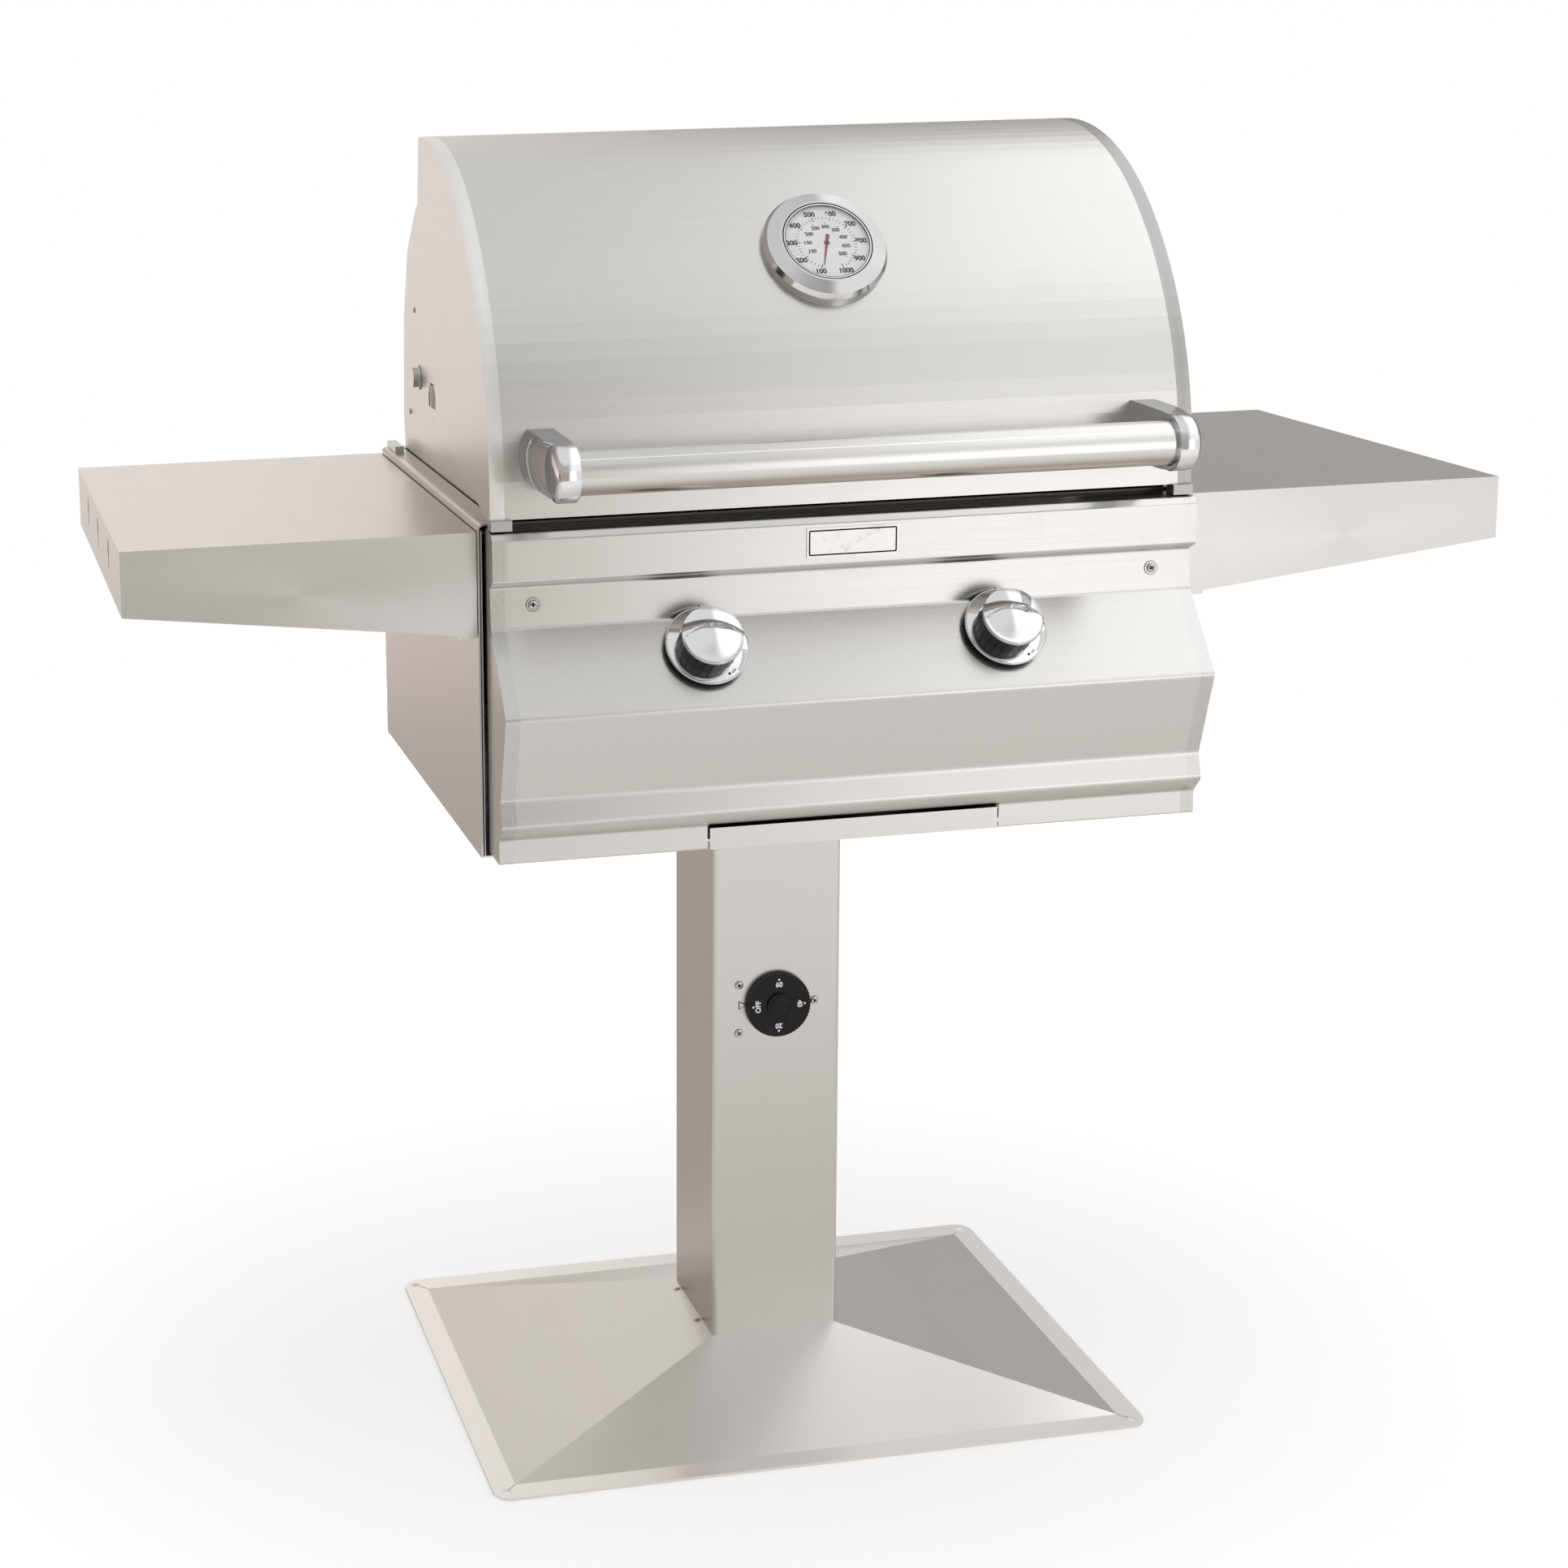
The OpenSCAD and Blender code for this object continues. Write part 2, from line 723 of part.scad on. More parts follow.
// Radius of needle's hub
needle_hub_r = 3; // [2.1:0.1:3.9]
// Radius of needle's pin
needle_pin_r = 1; // [0.6:0.05:1.3]
// Needle at rest, in degrees clockwise from top
needle_turn = 197; // [187:1:207]

/* [Side shelves] */
// Inner face of a shelf from middle
shelf_in_x = 355.5; // [319:0.1:392]
// Outer face of shelf from middle
shelf_out_x = 687.8; // [619:0.1:757]
// Front face of a shelf
shelf_front_y = -248.5; // [-274:0.1:-223]
// Back face of a shelf
shelf_back_y = 243.7; // [219:0.1:269]
// Top of a shelf
shelf_top_z = 986.9; // [888:0.1:1086]
// Sheet of a shelf
shelf_sheet = 1.5; // [1:0.05:2]
// Lower edge of a shelf's outer end
shelf_end_z = 925; // [832:1:1018]
// Step in shelf's lower edge, from middle
shelf_step_x = 374.5; // [337:0.1:412]
// Lower edge of shelf at step
shelf_step_z = 889.5; // [800:0.1:979]
// Lower edge of shelf at body
shelf_root_z = 886; // [797:1:975]
// Width of turned lips under a shelf
shelf_lip = 12; // [8:0.1:16]
// Spacing of keyhole slots
key_pitch = 120; // [108:1:132]
// Middle keyhole slot, depth
key_mid_y = -2; // [-2.6:0.05:-1.3]
// Lower end of a keyhole slot
key_low_z = 945.5; // [850:0.1:1041]
// Upper end of a keyhole slot
key_high_z = 976; // [878:1:1074]
// Width of keyhole slot's upper part
key_wide = 14; // [9:0.1:19]
// Width of keyhole slot's lower part
key_narrow = 7; // [4:0.1:10]
// Height of keyhole slot's upper part
key_wide_h = 15; // [10:0.1:20]
// Shelf bolts, depth
shelf_bolt_y = 190; // [171:1:209]
// Height of upper shelf bolts
shelf_bolt_high_z = 960; // [864:1:1056]
// Height of lower shelf bolts
shelf_bolt_low_z = 905; // [814:1:996]
// Radius of shelf bolt
shelf_bolt_r = 3; // [2.1:0.1:3.9]
// Radius of shelf bolt's hole
shelf_bolt_hole_r = 3.2; // [2:0.1:5]
// Radius of shelf bolt's head
shelf_bolt_head_r = 5.5; // [3:0.1:8]
// Height of shelf bolt's head
shelf_bolt_head_t = 4; // [2:0.1:6]

/* [Hidden] */

$fn = 64;
small_arc = 4;
half_turn = 180;
funnel_share = 1.2;
hem_share = 1.2;
cross_shares = [1 / 3, 2 / 3];
cut = liner_sheet;
steel = [0.72, 0.71, 0.69];
bright = [0.86, 0.86, 0.87];
dark = [0.09, 0.09, 0.1];
brass = [0.72, 0.58, 0.3];
iron = [0.35, 0.35, 0.36];

post_bolt_low_z = body_low_z - post_plate_t - post_nut_t;
post_top_z = body_low_z - post_plate_t;
floor_top_z = body_low_z + floor_t;
side_in_x = body_x - body_sheet;
inner_sheet_x = side_in_x - inner_sheet_gap;
flange_low_z = body_top_z - body_sheet;
rear_in_y = body_back_y - body_sheet;
liner_in_x = liner_x - liner_sheet;
liner_in_front_y = liner_front_y + liner_sheet;
liner_in_back_y = liner_back_y - liner_sheet;
funnel_up = liner_sheet * funnel_share;
grid_z = grid_ledge_z + liner_sheet;
shield_z = shield_ledge_z + liner_sheet;
panel_end_x = panel_half_x - cap_w;
wing_x = liner_x;
wing_in_x = liner_x - wing_sheet;
hood_side_in_x = hood_half_x - hood_sheet;
hood_end_x = hood_half_x - cap_w;
hinge_hole_r = hinge_r + running_gap;
stem_hole_r = stem_r + running_gap;
bracket_hole_r = handle_r + running_gap;
grip_low = skirt_rim_low + skirt_rise;
base_fold_x = base_half_x - base_border_x;
base_fold_y = base_half_y - base_border_y;
anchor_x = base_half_x - anchor_in_x;
anchor_y = base_half_y - anchor_in_y;
bend_low_z = body_top_z - flange_bend_r - side_gap;
bend_in_x = body_x - flange_bend_r - side_gap;
panel_screw_x = panel_half_x - panel_screw_in;
handle_half = hood_half_x - handle_end_in;
collar_out_x = handle_half + collar_len;
dome_out_x = collar_out_x + dome_len;
foot_in_x = handle_half;
foot_out_x = foot_in_x + foot_w;

// Small helpers for lists of points
function flip(list) = [for (i = [len(list) - 1:-1:0]) list[i]];
function unit(v) = v / norm(v);
function left_of(v) = [-v[1], v[0]];
function leg_normal(path, i) = left_of(unit(path[i + 1] - path[i]));
function corner_shift(path, i, t) =
  let (last = len(path) - 1)
  let (a = leg_normal(path, max(i - 1, 0)))
  let (b = leg_normal(path, min(i, last - 1)))
  (a + b) * t / (1 + a * b);
function shifted(path, t) = [for (i = [0:len(path) - 1]) path[i] + corner_shift(path, i, t)];
function sheet_outline(path, t) = concat(path, flip(shifted(path, t)));

// A bend of radius r at b between the legs from a and to c
function bend(a, b, c, r) =
  let (u = unit(a - b))
  let (v = unit(c - b))
  let (half = acos(u * v) / 2)
  let (reach = r / tan(half))
  let (mid = b + unit(u + v) * r / sin(half))
  let (from = (b + u * reach - mid) / r)
  let (to = (b + v * reach - mid) / r)
  let (turn = half_turn - 2 * half)
  [for (k = [0:small_arc])
    mid + r * (from * sin(turn * (1 - k / small_arc)) + to * sin(turn * k / small_arc)) / sin(turn)];

// A path whose inner points [y, z, r] are bent with radius r
function bent_path(p) = concat(
  [[p[0][0], p[0][1]]],
  [for (i = [1:len(p) - 2])
    each bend([p[i - 1][0], p[i - 1][1]], [p[i][0], p[i][1]], [p[i + 1][0], p[i + 1][1]], p[i][2])],
  [[p[len(p) - 1][0], p[len(p) - 1][1]]]);

function arc(centre, r, from, to, steps) =
  [for (k = [0:steps]) let (a = from + (to - from) * k / steps) centre + r * [-cos(a), sin(a)]];

module block(low, high) {
  translate(low) cube(high - low);
}

module flipped() {
  mirror([1, 0, 0]) children();
}

module both_sides() {
  children();
  flipped() children();
}

// A side-view outline [y, z] drawn out from x0 to x1
module along_x(x0, x1) {
  along(x0) rotate([90, 0, 90]) linear_extrude(height = x1 - x0) children();
}

// A front-view outline [x, z] drawn out from y0 to y1
module along_y(y0, y1) {
  translate([0, y1, 0]) rotate([90, 0, 0]) linear_extrude(height = y1 - y0) children();
}

module rod_x(r, x0, x1, y, z) {
  translate([x0, y, z]) rotate([0, 90, 0]) cylinder(r = r, h = x1 - x0);
}

module rod_y(r, y0, y1, x, z) {
  translate([x, y0, z]) rotate([-90, 0, 0]) cylinder(r = r, h = y1 - y0);
}

module rod_z(r, z0, z1, x, y) {
  translate([x, y, z0]) cylinder(r = r, h = z1 - z0);
}

module along(x) {
  translate([x, 0, 0]) children();
}

module up(z) {
  translate([0, 0, z]) children();
}

module bore(r, z0, z1) {
  rod_z(r, z0 - cut, z1 + cut, 0, 0);
}

module hex_x(r, x0, x1, y, z) {
  translate([x0, y, z]) rotate([0, 90, 0]) linear_extrude(height = x1 - x0)
    polygon([for (k = [0:5]) r * [cos(60 * k), sin(60 * k)]]);
}

module hex_z(r, z0, z1, x, y) {
  translate([x, y, z0]) linear_extrude(height = z1 - z0)
    polygon([for (k = [0:5]) r * [cos(60 * k), sin(60 * k)]]);
}

module round_plate(half_x, half_y, r, t) {
  linear_extrude(height = t) union() {
    square([2 * (half_x - r), 2 * half_y], center = true);
    square([2 * half_x, 2 * (half_y - r)], center = true);
    for (sx = [-1, 1], sy = [-1, 1]) translate([sx * (half_x - r), sy * (half_y - r)]) circle(r = r);
  }
}

// A four-sided stump between two level rectangles, each [x0, x1, y0, y1, z]
module stump(foot, top) {
  intersection() {
    along_y(min(foot[2], top[2]), max(foot[3], top[3]))
      polygon([[foot[0], foot[4]], [foot[1], foot[4]], [top[1], top[4]], [top[0], top[4]]]);
    along_x(min(foot[0], top[0]), max(foot[1], top[1]))
      polygon([[foot[2], foot[4]], [foot[3], foot[4]], [top[3], top[4]], [top[2], top[4]]]);
  }
}

module pyramid(drop) {
  stump(
    [-base_fold_x, base_fold_x, -base_fold_y, base_fold_y, base_sheet - drop],
    [-post_half, post_half, -post_half, post_half, base_top_z - drop]);
}

module base_plate() {
  slit = [anchor_x - base_fold_x, anchor_y - base_fold_y];
  color(steel) difference() {
    union() {
      round_plate(base_half_x, base_half_y, base_corner_r, base_sheet);
      pyramid(0);
    }
    pyramid(base_sheet);
    bore(base_top_hole_r, base_top_z - base_sheet, base_top_z);
    for (sx = [-1, 1], sy = [-1, 1]) {
      rod_z(anchor_hole_r, -cut, base_sheet + cut, sx * anchor_x, sy * anchor_y);
      translate([sx * base_fold_x, sy * base_fold_y, -cut])
        rotate([0, 0, atan2(sy * slit[1], sx * slit[0])]) translate([0, -mitre_slit_w / 2, 0])
          cube([norm(slit), mitre_slit_w, base_sheet + 2 * cut]);
    }
  }
}

module timer_screw_places() {
  left_x = timer_screw_left_x;
  for (p = [[left_x, timer_screw_up], [left_x, timer_screw_down], [timer_screw_right_x, 0]])
    translate([p[0], -post_half, timer_z + p[1]]) rotate([90, 0, 0]) children();
}

module post_tube() {
  long = post_top_z - base_top_z;
  inner = post_half - post_wall;
  color(steel) difference() {
    up(base_top_z) difference() {
      round_plate(post_half, post_half, post_corner_r, long);
      up(-cut) round_plate(inner, inner, post_corner_r - post_wall, long + 2 * cut);
    }
    rod_y(timer_boss_r + screw_gap, -post_half - cut, -post_half + post_wall + cut, 0, timer_z);
    timer_screw_places() bore(timer_screw_r + screw_gap, -post_wall, 0);
  }
}

module post_bolt_places() {
  for (sx = [-1, 1], sy = [-1, 1]) translate([sx * post_bolt_x, sy * post_bolt_x, 0]) children();
}

module post_top_plate() {
  color(steel) difference() {
    up(post_top_z) round_plate(post_plate_half, post_plate_half, post_plate_corner_r, post_plate_t);
    block([-plate_open_half, -plate_open_half, post_top_z - cut],
      [plate_open_half, plate_open_half, body_low_z + cut]);
    post_bolt_places() bore(post_bolt_hole_r, post_top_z, body_low_z);
  }
}

module post_bolts() {
  color(bright) post_bolt_places() {
    rod_z(post_bolt_head_r, floor_top_z, floor_top_z + post_bolt_head_t, 0, 0);
    rod_z(post_bolt_r, post_bolt_low_z, floor_top_z + post_bolt_head_t, 0, 0);
    hex_z(post_nut_r, post_bolt_low_z, post_top_z, 0, 0);
  }
}

module timer_valve() {
  wall_y = -post_half + post_wall;
  color(brass) difference() {
    union() {
      block([-timer_plate_x, wall_y, timer_z - timer_plate_z],
        [timer_plate_x, wall_y + timer_plate_t, timer_z + timer_plate_z]);
      block([-timer_box_x, wall_y, timer_z - timer_box_z],
        [timer_box_x, wall_y + timer_box_depth, timer_z + timer_box_z]);
      rod_y(timer_boss_r, -post_half, wall_y + timer_plate_t, 0, timer_z);
      hex_z(pipe_nut_r, timer_z - timer_box_z - pipe_nut_t, timer_z - timer_box_z, 0, inlet_y);
      hex_z(pipe_nut_r, timer_z + timer_box_z, timer_z + timer_box_z + pipe_nut_t, 0, inlet_y);
    }
    rod_y(timer_shaft_r + running_gap, -post_half - cut, -post_half + timer_shaft_len + cut, 0, timer_z);
    timer_screw_places() bore(timer_screw_r + screw_gap, -post_wall - timer_plate_t, 0);
  }
}

module timer_screws() {
  color(bright) timer_screw_places() {
    cylinder(r = timer_screw_head_r, h = timer_screw_head_t);
    up(-post_wall - timer_plate_t)
      cylinder(r = timer_screw_r, h = post_wall + timer_plate_t + timer_screw_head_t);
  }
}

module timer_dial() {
  face_y = -post_half - timer_dial_gap;
  teeth = timer_dial_teeth;
  color(dark) union() {
    translate([0, face_y, timer_z]) rotate([90, 0, 0]) linear_extrude(height = timer_dial_t)
      polygon([for (k = [0:2 * teeth - 1])
        (timer_dial_r - (k % 2) * timer_dial_notch)
          * [cos(half_turn * k / teeth), sin(half_turn * k / teeth)]]);
    rod_y(timer_hub_r, face_y - timer_dial_t - timer_hub_t, face_y, 0, timer_z);
    rod_y(timer_shaft_r, face_y - timer_dial_t, face_y + timer_shaft_len, 0, timer_z);
  }
}

module inlet_pipe() {
  top_z = timer_z - timer_box_z - pipe_nut_t;
  color(steel) difference() {
    rod_z(inlet_r, inlet_low_z, top_z, 0, inlet_y);
    rod_z(inlet_r - inlet_wall, inlet_low_z - cut, top_z + cut, 0, inlet_y);
  }
}

// A quarter bend of a pipe in the plane of its first and last direction
module pipe_bend(r) {
  rotate_extrude(angle = 90) translate([feed_bend_r, 0]) circle(r = r);
}

module supply_run(r, over) {
  b = feed_bend_r;
  start_z = timer_z + timer_box_z + pipe_nut_t;
  level_z = feed_jog_z + b;
  rise_z = level_z + b;
  turn_z = feed_run_z - b;
  rod_z(r, start_z - over, feed_jog_z, 0, inlet_y);
  translate([0, inlet_y + b, feed_jog_z]) rotate([90, 0, 90]) rotate([0, 0, 90]) pipe_bend(r);
  rod_y(r, inlet_y + b, feed_back_y - b, 0, level_z);
  translate([0, feed_back_y - b, rise_z]) rotate([90, 0, 90]) rotate([0, 0, -90]) pipe_bend(r);
  rod_z(r, rise_z, turn_z, 0, feed_back_y);
  translate([b, feed_back_y, turn_z]) rotate([90, 0, 0]) rotate([0, 0, 90]) pipe_bend(r);
  rod_x(r, b, feed_side_x - b, feed_back_y, feed_run_z);
  translate([feed_side_x - b, feed_back_y - b, feed_run_z]) pipe_bend(r);
  rod_y(r, feed_front_y + b, feed_back_y - b, feed_side_x, feed_run_z);
  translate([feed_side_x, feed_front_y + b, feed_run_z + b]) rotate([90, 0, 90]) rotate([0, 0, 180])
    pipe_bend(r);
  rod_z(r, feed_run_z + b, rail_z - rail_boss_down + over, feed_side_x, feed_front_y);
}

module supply_pipe() {
  color(brass) difference() {
    supply_run(feed_r, 0);
    supply_run(feed_r - feed_wall, cut);
  }
}

module manifold() {
  inner_r = rail_r - rail_wall;
  half = rail_boss_half;
  low_z = rail_z - rail_boss_down;
  color(steel) difference() {
    union() {
      rod_x(rail_r, -rail_half, rail_half, rail_y, rail_z);
      both_sides() {
        rod_x(rail_cap_r, rail_half, rail_half + rail_cap_t, rail_y, rail_z);
        translate([burner_x, rail_y, rail_z]) block([-half, -half, 0], [half, half, rail_boss_up]);
      }
      translate([feed_side_x, rail_y, low_z]) block([-half, -half, 0], [half, half, rail_boss_down]);
    }
    rod_x(inner_r, -rail_half, rail_half, rail_y, rail_z);
    rod_z(feed_r - feed_wall, low_z - cut, rail_z, feed_side_x, feed_front_y);
  }
}

module body_floor() {
  color(steel) difference() {
    block([-side_in_x, body_front_y, body_low_z], [side_in_x, rear_in_y, floor_top_z]);
    rod_z(feed_hole_r, body_low_z - cut, floor_top_z + cut, 0, feed_back_y);
    post_bolt_places() bore(post_bolt_hole_r, body_low_z, floor_top_z);
  }
}

module shelf_bolt_places() {
  for (y = [-shelf_bolt_y, shelf_bolt_y], z = [shelf_bolt_low_z, shelf_bolt_high_z])
    translate([0, y, z]) children();
}

module right_body_side() {
  color(steel) difference() {
    along_y(body_front_y, body_back_y) polygon(sheet_outline(bent_path([
      [body_x, body_low_z],
      [body_x, body_top_z, flange_bend_r],
      [flange_in_x, body_top_z]]), body_sheet));
    shelf_bolt_places() rod_x(shelf_bolt_hole_r, side_in_x - cut, body_x + cut, 0, 0);
  }
}

module inner_side_sheets() {
  color(iron) both_sides() difference() {
    block([inner_sheet_x - inner_sheet_t, body_front_y, floor_top_z],
      [inner_sheet_x, rear_in_y, bend_low_z]);
    shelf_bolt_places()
      rod_x(shelf_bolt_hole_r, inner_sheet_x - inner_sheet_t - cut, inner_sheet_x + cut, 0, 0);
  }
}

module rear_panel() {
  color(steel) difference() {
    union() {
      block([-side_in_x, rear_in_y, body_low_z], [side_in_x, body_back_y, bend_low_z]);
      block([-bend_in_x, rear_in_y, body_low_z], [bend_in_x, body_back_y, flange_low_z]);
      block([-flange_in_x, flange_in_y, flange_low_z], [flange_in_x, body_back_y, body_top_z]);
    }
    for (k = [0:vent_count - 1]) translate([(k - (vent_count - 1) / 2) * vent_pitch, 0, vent_z])
      block([-vent_w / 2, rear_in_y - cut, -vent_h / 2], [vent_w / 2, body_back_y + cut, vent_h / 2]);
  }
}

module firebox_liner() {
  s = liner_sheet;
  half = drain_half_x;
  inner_z = liner_funnel_z + funnel_up;
  foot_out = [-liner_x, liner_x, liner_front_y, liner_back_y, liner_funnel_z];
  drain_out = [-half - s, half + s, drain_front_y - s, drain_back_y + s, drain_z];
  foot_in = [-liner_in_x, liner_in_x, liner_in_front_y, liner_in_back_y, inner_z];
  drain_in = [-half, half, drain_front_y, drain_back_y, drain_z + funnel_up];
  color(steel) union() {
    difference() {
      union() {
        block([-liner_x, liner_front_y, liner_funnel_z], [liner_x, liner_back_y, body_top_z]);
        stump(foot_out, drain_out);
      }
      block([-liner_in_x, liner_in_front_y, inner_z], [liner_in_x, liner_in_back_y, body_top_z + cut]);
      stump(foot_in, drain_in);
      block([-half, drain_front_y, drain_z - cut], [half, drain_back_y, drain_z + funnel_up + cut]);
      both_sides()
        rod_y(venturi_r + venturi_gap, liner_front_y - cut, liner_in_front_y + cut, burner_x, burner_z);
    }
    both_sides() block([liner_x, liner_front_y, liner_ledge_z],
      [inner_sheet_x - inner_sheet_t, liner_back_y, liner_ledge_z + s]);
    for (z = [grid_ledge_z, shield_ledge_z], y = [liner_in_front_y, liner_in_back_y - ledge_w])
      block([-liner_in_x, y, z], [liner_in_x, y + ledge_w, z + s]);
  }
}

module right_grid() {
  wide = grid_out_x - grid_gap_half;
  rods = floor((wide - 2 * grid_rod_r) / grid_rod_pitch);
  first_x = grid_gap_half + (wide - (rods - 1) * grid_rod_pitch) / 2;
  mid_z = grid_z + grid_bar_h - grid_rod_r;
  end = grid_bar_t / 2;
  color(iron) union() {
    for (y = [grid_front_y, grid_back_y - grid_bar_t])
      block([grid_gap_half, y, grid_z], [grid_out_x, y + grid_bar_t, grid_z + grid_bar_h]);
    for (share = cross_shares)
      translate([0, grid_front_y + (grid_back_y - grid_front_y) * share, mid_z - grid_cross_h])
        block([grid_gap_half, 0, 0], [grid_out_x, grid_cross_t, grid_cross_h]);
    for (k = [0:rods - 1])
      rod_y(grid_rod_r, grid_front_y + end, grid_back_y - end, first_x + k * grid_rod_pitch, mid_z);
  }
}

module heat_shields() {
  color(steel) both_sides() for (side = [-1, 1]) along(burner_x + side * burner_leg_x)
    along_y(liner_in_front_y + side_gap, liner_in_back_y - side_gap) polygon(sheet_outline([
      [shield_half, shield_z],
      [0, shield_z + shield_rise],
      [-shield_half, shield_z]], -liner_sheet));
}

module warming_rack() {
  rods = floor((rack_back_y - rack_front_y - rack_bar_t) / rack_rod_pitch) + 1;
  color(bright) union() {
    both_sides()
      block([wing_in_x - rack_bar_t, rack_front_y, rack_z], [wing_in_x, rack_back_y, rack_z + rack_bar_h]);
    for (k = [0:rods - 1]) rod_x(rack_rod_r, -wing_in_x + rack_bar_t / 2, wing_in_x - rack_bar_t / 2,
      rack_front_y + rack_bar_t + k * rack_rod_pitch, rack_z + rack_bar_h / 2);
    for (x = [-burner_x, burner_x]) along(x - rack_bar_t / 2)
      block([0, rack_front_y, rack_z], [rack_bar_t, rack_back_y, rack_z + rack_bar_h / 2]);
  }
}

module burner_tube(r, over) {
  b = burner_bend_r;
  back_y = burner_back_y - over;
  for (side = [-1, 1]) {
    rod_y(r, burner_front_y + b, back_y, side * burner_leg_x, burner_z);
    translate([side * (burner_leg_x - b), burner_front_y + b, burner_z])
      rotate([0, 0, side < 0 ? 180 : 270]) rotate_extrude(angle = 90) translate([b, 0]) circle(r = r);
  }
  rod_x(r, -burner_leg_x + b, burner_leg_x - b, burner_front_y, burner_z);
}

module burner() {
  color(iron) difference() {
    union() {
      burner_tube(burner_r, 0);
      rod_y(venturi_r, venturi_front_y, burner_front_y, 0, burner_z);
      for (side = [-1, 1])
        rod_y(burner_lug_r, burner_back_y - cut, liner_in_back_y, side * burner_leg_x, burner_z);
    }
    burner_tube(burner_r - burner_wall, burner_wall);
    rod_y(venturi_r - burner_wall, venturi_front_y - cut, burner_front_y, 0, burner_z);
    for (side = [-1, 1], k = [1:port_count])
      translate([side * burner_leg_x, burner_front_y + burner_bend_r + k * port_pitch, burner_z])
        cylinder(r = port_r, h = burner_r + cut);
  }
}

module burners() {
  for (x = [-burner_x, burner_x]) along(x) burner();
}

module igniters() {
  tip_y = liner_in_front_y + igniter_len;
  color(bright) for (x = [-burner_x, burner_x]) {
    rod_y(igniter_r, liner_in_front_y, tip_y, x, igniter_z);
    rod_y(igniter_wire_r, liner_in_front_y, tip_y + igniter_wire_len, x, igniter_z);
  }
}

panel_path = bent_path([
  [panel_back_y, panel_brow_z - mid_r],
  [panel_back_y, panel_top_z, tight_r],
  [panel_brow_y, panel_brow_z, mid_r],
  [panel_lobe_y, panel_brow_z - mid_r, tight_r],
  [panel_lobe_y, panel_lobe_z, tight_r],
  [panel_neck_y, panel_neck_z, tight_r],
  [panel_brink_y, panel_brink_z, mid_r],
  [panel_ridge_y, panel_ridge_z, mid_r],
  [panel_waist_y, panel_waist_z, wide_r],
  [panel_bead_y, panel_bead_z, mid_r],
  [panel_lip_y, panel_lip_z, tight_r],
  [panel_lip_y, panel_low_z, panel_sheet * hem_share],
  [panel_lip_y + panel_hem, panel_low_z]]);

// Moves a shape drawn on the knob face, with +Z along the knob's axis, to its place
module on_face() {
  run = unit([panel_ridge_y - panel_brink_y, panel_ridge_z - panel_brink_z]);
  translate([0, panel_brink_y + knob_down * run[0], panel_brink_z + knob_down * run[1]])
    rotate([atan2(-run[1], -run[0]), 0, 0]) children();
}

module on_band() {
  slope = (panel_brink_y - panel_neck_y) / (panel_neck_z - panel_brink_z);
  translate([0, panel_neck_y + slope * (panel_neck_z - panel_screw_z), panel_screw_z])
    rotate([90 + atan(slope), 0, 0]) children();
}

module control_panel() {
  color(steel) difference() {
    along_x(-panel_end_x, panel_end_x) polygon(sheet_outline(panel_path, panel_sheet));
    block([-tray_notch_half_x, panel_lip_y - panel_hem, panel_low_z - cut],
      [tray_notch_half_x, panel_lip_y + panel_hem + cut, tray_notch_top_z]);
    both_sides() {
      along(burner_x) on_face() bore(knob_hole_r, -panel_sheet, 0);
      along(panel_screw_x) on_band() bore(panel_screw_r + screw_gap, -panel_sheet, 0);
    }
  }
}

module right_panel_band() {
  back_y = body_front_y - side_gap;
  color(bright) union() {
    along_x(panel_end_x, panel_half_x) polygon(sheet_outline(panel_path, panel_sheet));
    along_x(panel_half_x - panel_sheet, panel_half_x)
      polygon(concat(panel_path, [[back_y, panel_low_z], [back_y, panel_brow_z - mid_r]]));
  }
}

module panel_screws() {
  color(bright) both_sides() along(panel_screw_x) on_band() {
    cylinder(r = panel_washer_r, h = panel_washer_t);
    cylinder(r = panel_screw_head_r, h = panel_washer_t + panel_screw_head_t);
    up(-panel_screw_len) cylinder(r = panel_screw_r, h = panel_screw_len + panel_washer_t);
  }
}

module nameplate() {
  color(bright)
    block([-plate_half_x, panel_lobe_y - plate_t, plate_low_z], [plate_half_x, panel_lobe_y, plate_high_z]);
}

module knob_collars() {
  color(dark) both_sides() along(burner_x) on_face() difference() {
    cylinder(r = bezel_r, h = bezel_t);
    bore(knob_hole_r, 0, bezel_t);
  }
}

module valve_body() {
  deep = panel_sheet + valve_len;
  color(brass) difference() {
    union() {
      on_face() up(-deep) cylinder(r = valve_r, h = valve_len);
      rod_z(valve_neck_r, rail_z + rail_boss_up, burner_z, 0, valve_neck_y);
      rod_y(nozzle_r, valve_neck_y, nozzle_tip_y, 0, burner_z);
    }
    on_face() {
      up(-panel_sheet - stem_r - plug_len - 2 * plug_end_gap)
        cylinder(r = plug_r + running_gap, h = plug_len + 2 * plug_end_gap);
      up(-panel_sheet - stem_r - plug_len) cylinder(r = stem_hole_r, h = plug_len + stem_r + cut);
    }
  }
}

module valve_bodies() {
  for (x = [-burner_x, burner_x]) along(x) valve_body();
}

// The stem is round in the valve and has a flat in front of the face
module valve_stem() {
  color(brass) on_face() difference() {
    union() {
      up(-panel_sheet - stem_r - plug_len - plug_end_gap) cylinder(r = plug_r, h = plug_len);
      up(-panel_sheet - stem_r - plug_len - plug_end_gap)
        cylinder(r = stem_r, h = plug_len + stem_r + panel_sheet + stem_len);
    }
    block([-stem_r - cut, stem_flat, 0], [stem_r + cut, stem_r + cut, stem_len + cut]);
  }
}

